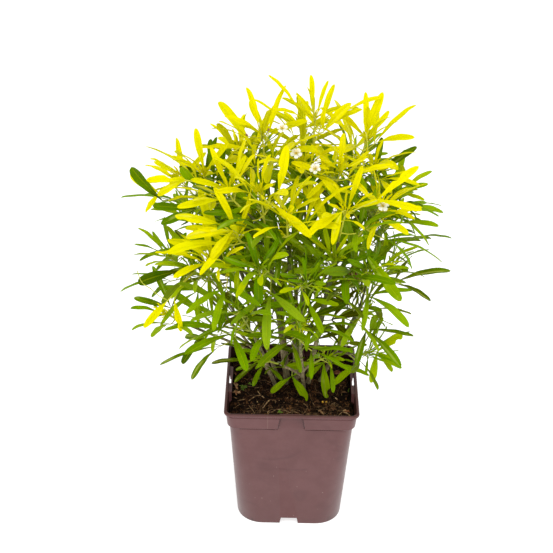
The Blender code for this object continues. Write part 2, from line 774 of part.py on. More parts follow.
def grow_leaf(bm, face, leaf):
    """Grow a leaf stalk from a shoot's flank, its hub, and its leaflets."""
    r = 0.62 * MM

    def ring(centre, half):
        return [centre - leaf.side * half + leaf.up * half, centre - leaf.side * half - leaf.up * half,
                centre + leaf.side * half - leaf.up * half, centre + leaf.side * half + leaf.up * half]

    cap, _ = extend(bm, face, matched(face, ring(leaf.hub - leaf.way * (1.0 * MM), r)))
    cap, sides = extend(bm, cap, matched(cap, ring(leaf.hub + leaf.way * (0.8 * MM), r)))
    faces = [cap]
    for blade in leaf.blades[1:]:
        faces.append(max(sides, key=lambda f: (f.calc_center_median() - leaf.hub).dot(blade[0])))
    for face, blade in zip(faces, leaf.blades):
        points = leaf.blade_points(face.calc_center_median(), blade)
        grow_blade(bm, face, blade[1], blade[2], points)


def make_shoot(parent, shoot):
    """One leafy shoot as one body: four-sided stem, leaf stalks and leaflets."""
    path = shoot.path
    stops = {shoot.start: None}
    for pair in range(shoot.pairs):
        s = shoot.node(pair)
        half = 1.0 * MM
        stops[s - half] = None
        stops[s + half] = pair
    marks = sorted(stops)
    for a, b in zip(marks, marks[1:]):
        if b - a > 30 * MM:
            stops[(a + b) / 2] = None
    marks = sorted(stops)
    bm = bmesh.new()
    point, side, up, _ = path.frame(marks[0])
    cap = sprout(bm, section(point, side, up, shoot.radius(marks[0]), 4))
    for s in marks[1:]:
        point, side, up, _ = path.frame(s)
        cap, sides = extend(bm, cap, section(point, side, up, shoot.radius(s), 4))
        if stops[s] is None:
            continue
        for pair, flank, leaf in shoot.leaves:
            if pair == stops[s]:
                grow_leaf(bm, sides[flank], leaf)
    bud = bmesh.ops.poke(bm, faces=[cap])["verts"][0]
    bud.co += path.frame(path.length)[3] * (2.2 * MM)
    return finish(bm, shoot.name, shoot.kind, parent)


# ---- flowers -----------------------------------------------------------------------------------
def petal_points(base, way, side, up):
    """Left edge, right edge, keel and tip of one petal."""
    mid = base + way * (PETAL * 0.6) + up * (0.8 * MM)
    lift = up * (0.3 * MM)
    return (mid - side * (PETAL * 0.3) + lift, mid + side * (PETAL * 0.3) + lift,
            mid - up * (0.4 * MM), base + way * PETAL + up * (0.6 * MM))


def make_flower(parent, number, shoot, centre):
    """A small five-petalled flower on a thin stalk that springs from the side of a shoot."""
    s = shoot.node(0) - 5.0 * MM
    point, _, _, way = shoot.path.frame(s)
    centre = Vector(centre) * CM
    aim = centre - point
    flat = (aim - way * aim.dot(way)).normalized()
    start = point + flat * (shoot.radius(s) * 0.75 + GAP)
    look = (Vector((0.0, -0.55, 0.75)) + aim.normalized() * 0.5).normalized()
    stalk = Path(start, flat * 0.7 + way * 0.5, centre, look)
    bm = bmesh.new()
    p, side, up, _ = stalk.frame(0.0)
    cap = sprout(bm, section(p, side, up, 0.55 * MM, 5))
    for share in (0.5, 0.88):
        p, side, up, _ = stalk.frame(stalk.length * share)
        cap, _ = extend(bm, cap, section(p, side, up, 0.5 * MM, 5))
    p, side, up, axis = stalk.frame(stalk.length)
    cap, _ = extend(bm, cap, section(p, side, up, 1.3 * MM, 5))
    cap, sides = extend(bm, cap, section(p + axis * (1.0 * MM), side, up, 1.4 * MM, 5))
    heart = p + axis * (0.5 * MM)
    for face in sides:
        base = face.calc_center_median()
        out = (base - heart).normalized()
        across = axis.cross(out).normalized()
        grow_blade(bm, face, across, axis, petal_points(base, out, across, axis))
    crown = bmesh.ops.poke(bm, faces=[cap])["verts"][0]
    crown.co += axis * (1.4 * MM)
    return finish(bm, f"flower_{number:02d}", "petal", parent)


# ---- build -------------------------------------------------------------------------------------
def main():
    for thing in list(bpy.data.objects):
        bpy.data.objects.remove(thing, do_unlink=True)
    whole = bpy.data.objects.new("potted_mexican_orange_blossom", None)
    bpy.context.scene.collection.objects.link(whole)

    stems, shoots = plan_stems()
    space = Space()
    pot = make_pot(whole)
    space.add_object(pot)
    soil = make_soil(whole, [(path, radius) for _, path, radius, _, _ in stems])
    space.add_object(soil)
    for name, path, radius, end, forks in stems:
        space.add_object(make_stem(whole, name, path, radius, end, forks))
    for shoot in shoots:
        verts = []
        faces = []
        count = max(2, int((shoot.path.length - shoot.start) / (12.0 * MM)))
        for k in range(count + 1):
            s = shoot.start + (shoot.path.length - shoot.start) * k / count
            point, side, up, _ = shoot.path.frame(s)
            verts += section(point, side, up, shoot.radius(s) + 0.3 * MM, 4)
        for k in range(count):
            for i in range(4):
                j = (i + 1) % 4
                faces.append((4 * k + i, 4 * k + j, 4 * k + 4 + j, 4 * k + 4 + i))
        space.add(shoot.name, verts, faces)
    by_name = {shoot.name: shoot for shoot in shoots}
    for number, (carrier, centre) in enumerate(FLOWERS, 1):
        space.add_object(make_flower(whole, number, by_name[carrier], centre))
    plan_leaves(shoots, space)
    for shoot in shoots:
        make_shoot(whole, shoot)


main()
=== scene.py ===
"""Looks of a potted Mexican orange blossom: leaves, twigs, bark, flowers, compost and pot."""

import math
import random

import bmesh
import bpy
import numpy as np
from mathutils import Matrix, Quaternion, Vector, noise
from mathutils.bvhtree import BVHTree


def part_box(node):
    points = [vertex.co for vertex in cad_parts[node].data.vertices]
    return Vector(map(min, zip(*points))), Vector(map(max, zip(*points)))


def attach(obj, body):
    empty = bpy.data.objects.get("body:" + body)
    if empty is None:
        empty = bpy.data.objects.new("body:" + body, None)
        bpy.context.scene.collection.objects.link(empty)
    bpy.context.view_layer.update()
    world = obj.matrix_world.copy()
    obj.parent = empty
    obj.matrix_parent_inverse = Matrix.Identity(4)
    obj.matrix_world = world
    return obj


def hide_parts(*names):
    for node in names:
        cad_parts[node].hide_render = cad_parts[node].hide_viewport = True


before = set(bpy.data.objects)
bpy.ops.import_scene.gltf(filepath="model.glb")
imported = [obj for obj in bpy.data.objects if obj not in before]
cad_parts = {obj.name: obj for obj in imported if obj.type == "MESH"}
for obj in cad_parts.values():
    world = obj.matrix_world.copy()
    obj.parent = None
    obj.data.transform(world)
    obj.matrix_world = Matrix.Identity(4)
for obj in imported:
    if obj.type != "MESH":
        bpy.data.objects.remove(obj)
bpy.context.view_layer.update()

MM = 0.001
UP = Vector((0.0, 0.0, 1.0))
GOLD, GREEN, WOODY, FLOWERS = (
    sorted(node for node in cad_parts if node.startswith(kind))
    for kind in ("gold_shoot", "green_shoot", "woody_stem", "flower"))
POT_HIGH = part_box("pot")[1]
RIM_Z = POT_HIGH.z
SOIL_Z = RIM_Z - 13.0 * MM
CROWN = Vector((0.005, 0.012, 0.20))  # inner point that the shoots lean away from
SEAM_X = 24.5 * MM  # how far left of the middle the pot's mould line runs down the collar
MARKS = ("across", "along", "tone", "chance")  # values at each point that the materials read


# ---- node materials ----------------------------------------------------------------------------
class Wire:
    """The output of a shader node; arithmetic on it adds nodes to the same material."""

    def __init__(self, look, socket):
        self.look = look
        self.socket = socket

    def math(self, how, other=0.5, clamp=False):
        return self.look.node("Math", (0, self), (1, other), operation=how, use_clamp=clamp)

    def __add__(self, other):
        return self.math("ADD", other)

    def __sub__(self, other):
        return self.math("SUBTRACT", other)

    def __mul__(self, other):
        return self.math("MULTIPLY", other)

    def __abs__(self):
        return self.math("ABSOLUTE")

    def plus(self, other):
        """The sum, held between 0 and 1."""
        return self.math("ADD", other, True)

    def step(self, low, high, to_low=0.0, to_high=1.0):
        """Smooth step from to_low to to_high between low and high."""
        return self.look.node("MapRange", ("Value", self), ("From Min", low), ("From Max", high),
                              ("To Min", to_low), ("To Max", to_high), interpolation_type="SMOOTHSTEP")

    def fade(self, low, high):
        """Smooth step from 1 down to 0 between low and high."""
        return self.step(low, high, 1.0, 0.0)

    def ramp(self, *stops):
        made = self.look.node("ValToRGB", ("Fac", self))
        bar = made.socket.node.color_ramp
        while len(bar.elements) < len(stops):
            bar.elements.new(0.5)
        for element, (spot, colour) in zip(bar.elements, stops):
            element.position = spot
            element.color = (*colour, 1.0)
        return made

    def mix(self, share, other):
        return self.look.mix(share, self, other)


class Look:
    """A procedural material, put together from short names for its nodes."""

    def __init__(self, name, **sockets):
        self.material = bpy.data.materials.new(name)
        self.material.use_nodes = True
        self.tree = self.material.node_tree
        self.shader = self.tree.nodes["Principled BSDF"]
        for key, value in sockets.items():
            self.shader.inputs[key.replace("_", " ")].default_value = value

    def put(self, socket, value):
        """Link a wire to a socket, or set the socket to a plain value."""
        if isinstance(value, Wire):
            self.tree.links.new(value.socket, socket)
        else:
            colour = socket.type == "RGBA" and len(value) == 3
            socket.default_value = (*value, 1.0) if colour else value

    def node(self, kind, *inputs, out=0, **props):
        made = self.tree.nodes.new("ShaderNode" + kind)
        for key, value in props.items():
            setattr(made, key, value)
        for socket, value in inputs:
            self.put(made.inputs[socket], value)
        return Wire(self, made.outputs[out])

    def mark(self, name):
        return self.node("Attribute", out="Fac", attribute_name=name)

    def place(self, stretch=None):
        coords = self.node("TexCoord", out="Object")
        return self.node("Mapping", ("Vector", coords), ("Scale", stretch)) if stretch else coords

    def noise(self, scale, detail=3.0, rough=0.5, stretch=None, warp=0.0):
        return self.node("TexNoise", ("Vector", self.place(stretch)), ("Scale", scale), ("Detail", detail),
                         ("Roughness", rough), ("Distortion", warp))

    def cells(self, scale):
        return self.node("TexVoronoi", ("Vector", self.place()), ("Scale", scale))

    def mix(self, share, a, b):
        return self.node("Mix", (0, share), (6, a), (7, b), out=2, data_type="RGBA")

    def let_light_through(self, colour):
        """Mix in light that shines through from behind."""
        through = self.node("BsdfTranslucent", ("Color", colour))
        own = Wire(self, self.shader.outputs[0])
        self.put(self.tree.nodes["Material Output"].inputs["Surface"],
                 self.node("MixShader", (0, 0.30), (1, own), (2, through)))

    def skin(self, colour, rough, height, depth, strength):
        """Give the shader its colour, roughness and bump."""
        normal = self.node("Bump", ("Height", height), ("Strength", strength), ("Distance", depth))
        for name, value in (("Base Color", colour), ("Roughness", rough), ("Normal", normal)):
            self.put(self.shader.inputs[name], value)
        return self.material


def leaf_look():
    """Glossy leaflet: tone runs from deep green to vivid gold; across and along place the veins."""
    look = Look("leaf_surface", IOR=1.42, Specular_IOR_Level=0.09, Specular_Tint=(0.95, 1.0, 0.12, 1.0))
    across, along, tone, chance = (look.mark(mark) for mark in MARKS)
    shift = (look.noise(55.0, 3.0, 0.55) - 0.5) * 0.28
    body = (tone + shift).plus(along.step(0.0, 0.55, -0.10, 0.0)).ramp(
        (0.0, (0.004, 0.020, 0.0)), (0.22, (0.019, 0.074, 0.0)), (0.42, (0.116, 0.268, 0.0)),
        (0.60, (0.265, 0.405, 0.0)), (0.78, (0.550, 0.575, 0.0)), (1.0, (0.785, 0.712, 0.0)))
    side = abs(across)
    wave = abs(((along * 15.0 - side * 2.2) * math.pi).math("SINE"))
    vein = wave.fade(0.0, 0.30) * side.fade(0.80, 1.0)
    pale = body.mix(0.40, (0.62, 0.68, 0.003))
    dots = look.cells(900.0).fade(0.0, 0.35)
    body = body.mix(vein * 0.22, pale).mix(side.fade(0.035, 0.12) * 0.50, pale).mix(dots * 0.10, pale)
    # some leaves, chosen by chance, turn a paler and greyer green
    paler_leaf_share = chance.step(0.60, 0.95, 0.0, 0.34) * tone.fade(0.45, 0.70)
    # the pale rim along each leaflet's edge is a painted highlight
    body = body.mix(paler_leaf_share, (0.300, 0.385, 0.020)).mix(side.step(0.90, 1.0, 0.0, 0.35), pale)
    blotch = look.noise(420.0, 2.0).step(0.715, 0.76) * chance.step(0.55, 0.9, 0.0, 0.7)
    body = body.mix(blotch, (0.22, 0.13, 0.035))
    # painted highlight: pale glossy streaks beside the midrib, mixed in most on leaves with a low chance
    painted_gloss_streak = abs(across - 0.30).fade(0.05, 0.45) * look.noise(45.0, 2.0).step(0.42, 0.62)
    body = body.mix(painted_gloss_streak * chance.step(0.10, 0.50, 0.38, 0.0), body.mix(0.60, (1.0, 1.0, 0.25)))
    back = look.node("NewGeometry", out="Backfacing")
    body = body.mix(back * 0.75, body.mix(0.40, (0.34, 0.45, 0.010)))
    look.let_light_through(body.mix(tone.step(0.55, 0.90, 0.18, 0.80), (0.98, 0.93, 0.0)))
    gloss = look.noise(160.0, 2.0)
    rough = gloss.step(0.3, 0.7, 0.28, 0.42).plus(back * 0.22)
    return look.skin(body, rough, vein * -0.5 + gloss * 0.6 + dots * -0.12, 0.35 * MM, 0.55)


def twig_look():
    """Young shoots and leaf stalks: smooth green to yellow-green skin with faint ridges."""
    look = Look("twig_surface")
    body = look.mark("tone").plus((look.noise(90.0) - 0.5) * 0.3).ramp(
        (0.0, (0.045, 0.060, 0.010)), (0.35, (0.115, 0.160, 0.014)), (0.65, (0.290, 0.345, 0.020)),
        (1.0, (0.560, 0.560, 0.030)))
    grain = look.noise(700.0, 3.0, 0.6, (1.0, 1.0, 0.25))
    body = body.mix(grain.step(0.45, 0.75, 0.0, 0.30), (0.30, 0.28, 0.04))
    return look.skin(body, grain.step(0.3, 0.7, 0.42, 0.60), grain, 0.2 * MM, 0.5)


def bark_look():
    """Tan-grey bark with long fissures, greener where the wood is young."""
    look = Look("bark_surface", Specular_IOR_Level=0.3)
    fibres = look.noise(420.0, 5.0, 0.65, (1.0, 1.0, 0.16), 0.6)
    old = fibres.ramp((0.28, (0.050, 0.034, 0.014)), (0.45, (0.180, 0.140, 0.070)),
                      (0.60, (0.330, 0.270, 0.145)), (0.78, (0.540, 0.460, 0.290)))
    young = fibres.ramp((0.30, (0.050, 0.056, 0.012)), (0.55, (0.115, 0.122, 0.030)),
                        (0.80, (0.220, 0.210, 0.085)))
    body = old.mix(look.mark("tone").step(0.25, 0.80), young)
    body = body.mix(look.noise(60.0).step(0.58, 0.70) * 0.45, (0.120, 0.135, 0.055))
    scars = look.cells(330.0).step(0.0, 0.20, 0.8, 0.0)
    body = body.mix(scars, (0.055, 0.040, 0.025))
    return look.skin(body, fibres.step(0.3, 0.8, 0.92, 0.66), fibres - scars * 0.3, 0.9 * MM, 0.9)


def petal_look():
    """Thin white petals, cream towards the middle, with faint lengthwise veins."""
    look = Look("petal_surface", Specular_IOR_Level=0.35)
    lines = abs((look.mark("across") * 9.0).math("SINE"))
    white = look.mix(look.mark("along").step(0.0, 0.35), (0.88, 0.86, 0.58), (0.96, 0.955, 0.95))
    white = white.mix(lines.fade(0.0, 0.3) * 0.12, (0.80, 0.81, 0.68))
    look.let_light_through(white)
    return look.skin(white, look.noise(500.0).step(0.3, 0.7, 0.5, 0.65), lines, 0.12 * MM, 0.5)


def speckled(name, dark, light, scale, rough, depth, pale=None):
    """A mottled matt surface between two colours, with bump at the same scale; tone brings in pale."""
    look = Look(name, Specular_IOR_Level=0.12)
    grain = look.noise(scale, 4.0, 0.6)
    body = look.mix(grain.step(0.32, 0.68), dark, light)
    if pale:
        body = body.mix(look.mark("tone"), look.mix(grain.step(0.3, 0.7), light, pale))
    return look.skin(body, grain.step(0.3, 0.7, rough, max(rough - 0.18, 0.2)), grain, depth * MM, 0.8)


def soil_look():
    """Dark moist peat: crumbs, near-black hollows that are partly painted shade, and pale fibres."""
    look = Look("soil_surface", Specular_IOR_Level=0.10)
    big, fine = look.noise(110.0, 5.0, 0.7), look.noise(900.0, 4.0, 0.7)
    # near-black where the noise is low, the same noise that sinks the bump into hollows: partly the peat's
    # own dark colour, partly painted shade
    body = (big * 0.6 + fine * 0.4).ramp(
        (0.38, (0.0018, 0.0006, 0.0003)), (0.50, (0.008, 0.0029, 0.0012)), (0.58, (0.045, 0.0165, 0.0065)),
        (0.67, (0.210, 0.084, 0.032)))
    strands = look.noise(330.0, 2.0, 0.5, (1.0, 0.22, 1.0), 1.4).step(0.64, 0.69)
    crossing = look.noise(300.0, 2.0, 0.5, (0.2, 1.0, 1.0), 1.6).step(0.65, 0.70)
    body = body.mix(strands.math("MAXIMUM", crossing) * 0.60, (0.330, 0.145, 0.052))
    height = look.cells(420.0) * 0.5 + fine + big * 0.8
    return look.skin(body, fine.step(0.3, 0.7, 1.0, 0.72), height, 1.6 * MM, 0.9)


def pot_look(name, soiled_and_shaded):
    """Satin mauve-brown plastic: smears, scuffs, dust, a mould line, soil splashes, a darker lip band,
    painted shade low down, and inside soil stains with painted shade.
    """
    look = Look(name, IOR=1.49, Specular_IOR_Level=0.10 if soiled_and_shaded else 0.38,
                Sheen_Weight=0.0 if soiled_and_shaded else 0.15, Sheen_Roughness=0.35)
    x, y, high = (look.node("SeparateXYZ", ("Vector", look.place()), out=axis) for axis in "XYZ")
    cloud = look.noise(14.0, 4.0, 0.55)
    body = look.mix(cloud.step(0.3, 0.7), (0.098, 0.0345, 0.0345), (0.115, 0.0425, 0.0425))
    body = body.mix(look.noise(75.0, 4.0, 0.6).step(0.35, 0.70, 0.0, 0.40), (0.134, 0.056, 0.056))
    smear = abs(look.noise(10.0, 2.0, 0.40, (1.0, 1.0, 2.4), 0.9) - 0.52).fade(0.0, 0.040)
    body = body.mix(smear * look.noise(22.0, 2.0).step(0.46, 0.60) * 0.26, (0.060, 0.018, 0.020))
    scuff = look.noise(150.0, 5.0, 0.75, (0.35, 0.35, 1.0), 0.9).step(0.655, 0.72) * cloud.step(0.42, 0.62)
    body = body.mix(scuff * 0.30, (0.36, 0.28, 0.27))
    specks = look.cells(140.0).fade(0.045, 0.080) * look.noise(25.0).step(0.48, 0.60)
    body = body.mix(specks * 0.60, (0.50, 0.40, 0.36))
    front = y.fade(-POT_HIGH.x + 3.0 * MM, -POT_HIGH.x + 4.0 * MM)
    collar = high.step(RIM_Z - 19.0 * MM, RIM_Z - 18.0 * MM)
    seam = abs(x + SEAM_X).fade(0.15 * MM, 0.45 * MM) * (front * collar)
    body = body.mix(seam * 0.22, (0.34, 0.22, 0.17))
    near_ground = high.step(0.0, 0.030, 1.0, 0.10) * look.noise(40.0).step(0.47, 0.58)
    body = body.mix(look.cells(230.0).fade(0.035, 0.070) * near_ground * 0.85, (0.030, 0.016, 0.010))
    splash = high.math("DIVIDE", abs(x).step(0.026, 0.048, 0.0012, 0.011)).fade(0.35, 1.0)
    splash = splash * look.noise(120.0, 5.0, 0.75).step(0.47, 0.58)
    body = body.mix(splash * 0.80, (0.026, 0.011, 0.007))
    # painted shade: the foot darkens sharply over its lowest 2.4 mm and faintly up to 70 mm
    body = body.mix(high.step(0.0, 0.0024, 0.70, 0.0), (0.050, 0.014, 0.012))
    body = body.mix(high.step(0.0, 0.070, 0.38, 0.0), (0.086, 0.026, 0.024))
    # darker band on the lip's outer face, just under the rim's top
    body = body.mix(high.step(RIM_Z - 2.4 * MM, RIM_Z - 0.6 * MM, 0.0, 0.62), (0.072, 0.021, 0.018))
    # inside walls: soil stains and painted shade, darkened 60 to 90 per cent towards near-black
    if soiled_and_shaded:
        body = body.mix(look.noise(60.0, 5.0, 0.7).step(0.35, 0.65, 0.60, 0.90), (0.020, 0.008, 0.006))
    rough = cloud.step(0.3, 0.7, 0.34, 0.44).plus(scuff * 0.22)
    return look.skin(body, rough, look.noise(2600.0, 2.0) * 0.25 + cloud, 0.35 * MM, 0.35)


LEAF, TWIG, BARK, PETAL, SOIL = leaf_look(), twig_look(), bark_look(), petal_look(), soil_look()
POT, POT_INSIDE = pot_look("pot_surface", False), pot_look("pot_inner_surface", True)
CHIP = speckled("bark_chip_surface", (0.012, 0.0045, 0.002), (0.120, 0.046, 0.018), 500.0, 0.85, 0.5,
                (0.420, 0.260, 0.130))
STRAW = speckled("fibre_surface", (0.010, 0.0036, 0.0014), (0.066, 0.025, 0.009), 300.0, 0.80, 0.2,
                 (0.740, 0.470, 0.240))
PELLET = speckled("pellet_surface", (0.500, 0.200, 0.010), (0.820, 0.480, 0.050), 600.0, 0.40, 0.1)
SEEDLING = speckled("seedling_surface", (0.075, 0.130, 0.010), (0.190, 0.280, 0.040), 500.0, 0.55, 0.1)
ANTHER = speckled("anther_surface", (0.850, 0.450, 0.010), (0.960, 0.660, 0.050), 900.0, 0.60, 0.1)
DRY = speckled("dry_leaf_surface", (0.070, 0.016, 0.007), (0.220, 0.070, 0.028), 260.0, 0.75, 0.3,
               (0.640, 0.410, 0.220))


# ---- mesh building -----------------------------------------------------------------------------
def stand(name, data):
    """A new object in the scene for a mesh, light or camera."""
    thing = bpy.data.objects.new(name, data)
    bpy.context.scene.collection.objects.link(thing)
    return thing


def dress(thing, slot, *nodes):
    """Ride an object on the part and let it stand for its CAD nodes; slot is not used."""
    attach(thing, "root")
    if nodes:
        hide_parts(*nodes)


def any_way(rng, reach=1.0):
    return Vector([rng.uniform(-reach, reach) for _ in range(3)])


def bands(rows, count, closed=True):
    """Four-sided faces between each row of points and the next."""
    return [(i * count + k, i * count + j, (i + 1) * count + j, (i + 1) * count + k)
            for i in range(rows - 1) for k in range(count - (not closed)) for j in ((k + 1) % count,)]


class Build:
    """Points, faces and marks of one piece, gathered before it becomes a mesh."""

    def __init__(self):
        self.points = []
        self.faces = []
        self.slots = []
        self.marks = {mark: [] for mark in MARKS}

    def add(self, points, faces, slot=0, across=0.0, along=0.0, tone=0.0, chance=0.0):
        first = len(self.points)
        self.points.extend(points)
        self.faces.extend(tuple(i + first for i in face) for face in faces)
        self.slots.extend([slot] * len(faces))
        for mark, value in zip(MARKS, (across, along, tone, chance)):
            self.marks[mark].extend(np.broadcast_to(value, len(points)))

    def add_mesh(self, mesh, slot, tone):
        self.add([v.co for v in mesh.vertices], [p.vertices for p in mesh.polygons], slot, tone=tone)

    def piece(self, name, materials, slot, *nodes):
        """Make the object and dress the part with it."""
        mesh = bpy.data.meshes.new(name)
        mesh.from_pydata([tuple(p) for p in self.points], [], self.faces)
        for made in materials:
            mesh.materials.append(made)
        mesh.polygons.foreach_set("material_index", self.slots)
        for mark, values in self.marks.items():
            mesh.attributes.new(mark, "FLOAT", "POINT").data.foreach_set("value", values)
        mesh.shade_smooth()
        dress(stand(name, mesh), slot, *nodes)


def tube(build, points, radii, sides=6, slot=0, tone=0.0):
    """A round tube along points, with radii in mm; tone is one value, or one a point."""
    ways = [(b - a).normalized() for a, b in zip(points, points[1:])]
    ways.append(ways[-1])
    side = ways[0].orthogonal().normalized()
    angles = [math.tau * k / sides for k in range(sides)]
    rings = []
    for i, (centre, radius) in enumerate(zip(points, radii)):
        if i:
            side = ways[i - 1].rotation_difference(ways[i]) @ side
        side = (side - ways[i] * side.dot(ways[i])).normalized()
        up = ways[i].cross(side)
        rings += [centre + (side * math.cos(a) + up * math.sin(a)) * (radius * MM) for a in angles]
    ends = [tuple(range(sides))[::-1], tuple(range(len(rings) - sides, len(rings)))]
    tone = tone if np.isscalar(tone) else np.repeat(tone, sides)
    build.add(rings, bands(len(points), sides) + ends, slot, tone=tone)


MID = 0.6  # where along a leaflet its middle point lies
ACROSS = np.array((-1.0, -0.82, -0.55, -0.26, -0.08, 0.0, 0.08, 0.26, 0.55, 0.82, 1.0))  # its columns
FEW_ACROSS = np.array((-1.0, -0.5, 0.0, 0.5, 1.0))  # the same on small ones
SAME_LEAF = 2.6 * MM  # leaflets whose feet are closer than this share a leaf stalk
STALK_REACH = 2.3 * MM  # the points of a leaf stalk's end lie this near to its leaflets' feet
NEXT_RING = 2.6 * MM  # rings of a stem that are closer than this are one
BUD_EDGES = (1.9 * MM, 3.0 * MM)  # the four edges that meet at a shoot's tip lie between these lengths
BUD_FOOT = 1.3 * MM  # and their other ends within this of their middle


def outline_share(t, widest, slim_foot, blunt):
    """Half width of a leaflet along its length, as a share of its greatest half width."""
    low = slim_foot + (1.0 - slim_foot) * np.sin(0.5 * math.pi * np.clip(t / widest, 0, 1) ** 1.05) ** 1.35
    high = np.sqrt(np.clip(1.0 - np.clip((t - widest) / (1.0 - widest), 0, 1) ** blunt, 0, 1))
    return np.where(t < widest, low, high)


def leaflet(build, base, mid, tip, up, width, rng, tone, chance, slot=0, bite=0.04, fold=None,
            widest=0.60, slim_foot=0.12, blunt=2.1, groove=0.25 * MM, rows=17, columns=ACROSS):
    """A curved leaflet through three points of its middle line; up is its upper side.

    bite is the chance that a piece is eaten out, fold how steeply its halves rise, slim_foot its
    width at the base as a share of the whole, and groove the depth of its midrib.
    """
    base, mid, tip, up = (np.array(v, float) for v in (base, mid, tip, up))
    length = np.linalg.norm(tip - base)
    t = 1.0 - (1.0 - np.linspace(0.0, 1.0, rows)) ** 1.25
    shares = ((t - MID) * (t - 1.0) / MID, t * (t - 1.0) / (MID * (MID - 1.0)), t * (t - MID) / (1.0 - MID))
    line = sum(share[:, None] * point for share, point in zip(shares, (base, mid, tip)))
    way = np.gradient(line, axis=0)
    way /= np.linalg.norm(way, axis=1)[:, None]
    ups = up - way * (way @ up)[:, None]
    ups /= np.linalg.norm(ups, axis=1)[:, None]
    sides = np.cross(way, ups)
    sway, sag = rng.uniform(-0.065, 0.065) * length, rng.uniform(-0.02, 0.10) * length
    line = line + sides * (sway * t ** 2)[:, None] - ups * (sag * t ** 3)[:, None]
    twist = math.radians(rng.gauss(0.0, 26.0)) * (t - 0.25)[:, None]
    sides, ups = sides * np.cos(twist) + ups * np.sin(twist), ups * np.cos(twist) - sides * np.sin(twist)
    half = outline_share(t, widest + rng.uniform(-0.06, 0.05), slim_foot, blunt) * width * 0.5
    fold = rng.uniform(0.26, 0.56) if fold is None else fold
    edge = np.ones((rows, 2))
    if rng.random() < bite:
        spot, reach, depth = rng.uniform(0.35, 0.85), rng.uniform(0.05, 0.11), rng.uniform(0.35, 0.8)
        edge[:, rng.randrange(2)] -= depth * np.sqrt(np.clip(1.0 - ((t - spot) / reach) ** 2, 0, 1))
    ripple = np.sin(rng.uniform(0, math.tau) + t * rng.uniform(2.0, 4.0) * math.tau) * 0.30 * MM
    points = []
    for i in range(rows - 1):
        for u in columns:
            reach = u * half[i] * edge[i, int(u >= 0)]
            lift = abs(reach) * fold - 0.5 * fold * half[i] * u ** 4 * 0.8
            lift += ripple[i] * abs(u) ** 3 - groove * math.exp(-(u / 0.07) ** 2) * min(1.0, half[i] / MM)
            points.append(line[i] + sides[i] * reach + ups[i] * lift)
    n, top = len(columns), len(points)
    faces = bands(rows - 1, n, False) + [(top - n + k, top - n + k + 1, top) for k in range(n - 1)]
    build.add(points + [line[-1]], faces, slot, np.append(np.tile(columns, rows - 1), 0.0),
              np.append(np.repeat(t[:-1], n), 1.0), tone, chance)


def shared_points(node):
    """A CAD node's mesh with its corner points joined."""
    bm = bmesh.new()
    bm.from_mesh(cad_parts[node].data)
    bmesh.ops.remove_doubles(bm, verts=bm.verts, dist=0.02 * MM)
    return bm


def neighbours(verts):
    return {e.other_vert(v) for v in verts for e in v.link_edges}


def middle(spots):
    """The mean of some points, the same in whatever order they come."""
    return Vector([math.fsum(axis) for axis in zip(*spots)]) / len(spots)


def find_blades(bm, least):
    """Leaflets or petals of a solid: each is a keeled kite that ends in a three-edged tip."""
    blades = []
    for tip in bm.verts:
        if len(tip.link_edges) != 3 or min(e.calc_length() for e in tip.link_edges) < least:
            continue
        trio = [e.other_vert(tip) for e in tip.link_edges]
        turns = [(trio[k], trio[(k + 1) % 3], trio[(k + 2) % 3]) for k in range(3)]
        left, right, keel = max(turns, key=lambda three: (three[0].co - three[1].co).length)
        mid = (left.co + right.co) / 2
        blades.append({
            "base": middle([v.co for v in neighbours(trio) - {tip, left, right, keel}]), "mid": mid,
            "tip": tip.co.copy(), "up": (mid - keel.co).normalized(), "keel": keel.co.copy(),
            "width": (left.co - right.co).length, "verts": [tip, left, right, keel]})
    return blades


def cut_blades(bm, blades):
    bmesh.ops.delete(bm, geom=list({v for blade in blades for v in blade["verts"]}), context="VERTS")


def bare_wood(bm, levels, swell):
    """A solid without its leaflets: closed, rounded, swollen a little and turned into a mesh."""
    bmesh.ops.join_triangles(bm, faces=bm.faces, angle_face_threshold=math.radians(50),
                             angle_shape_threshold=math.radians(180))
    bmesh.ops.holes_fill(bm, edges=[e for e in bm.edges if e.is_boundary], sides=0)
    bmesh.ops.recalc_face_normals(bm, faces=bm.faces)
    holder = solid("rough", bm)
    holder.modifiers.new("round", "SUBSURF").levels = levels
    wood = final_mesh(holder)
    bpy.data.objects.remove(holder)
    for v, normal in zip(wood.vertices, [n.vector.copy() for n in wood.vertex_normals]):
        v.co += normal * swell
    return wood


def solid(name, bm):
    mesh = bpy.data.meshes.new(name)
    bm.to_mesh(mesh)
    bm.free()
    return stand(name, mesh)


def final_mesh(thing):
    """An object's mesh with its modifiers applied."""
    graph = bpy.context.evaluated_depsgraph_get()
    return bpy.data.meshes.new_from_object(thing.evaluated_get(graph), depsgraph=graph)


def gather(blades):
    """Group leaflets that share a leaf stalk."""
    leaves = []
    for blade in blades:
        near = [leaf for leaf in leaves if (leaf[0]["base"] - blade["base"]).length < SAME_LEAF]
        if near:
            near[0].append(blade)
        else:
            leaves.append([blade])
    return leaves


def find_stem(bm, bud, hubs):
    """A shoot's stem from its tip down, as centres and radii (mm), and where each leaf stalk leaves it."""
    stalks = [{v for v in bm.verts if (v.co - hub).length < STALK_REACH} for hub in hubs]
    seen = set().union(*stalks)
    level = {min(bm.verts, key=lambda v: (v.co - bud).length)}
    line, radii = [bud], [0.45]
    while True:
        seen |= level
        level = neighbours(level) - seen
        if not level:
            break
        centre = middle([v.co for v in level])
        if len(line) > 1 and (centre - line[-1]).length < NEXT_RING:
            line[-1] = (line[-1] + centre) / 2
            continue
        line.append(centre)
        radii.append(0.88 * math.fsum((v.co - centre).length for v in level) / len(level) / MM)
    roots = []
    for stalk in stalks:
        spot = middle([v.co for v in neighbours(stalk) - stalk])
        roots.append(min(line, key=lambda p: (p - spot).length).lerp(spot, 0.5))
    return line, radii, roots


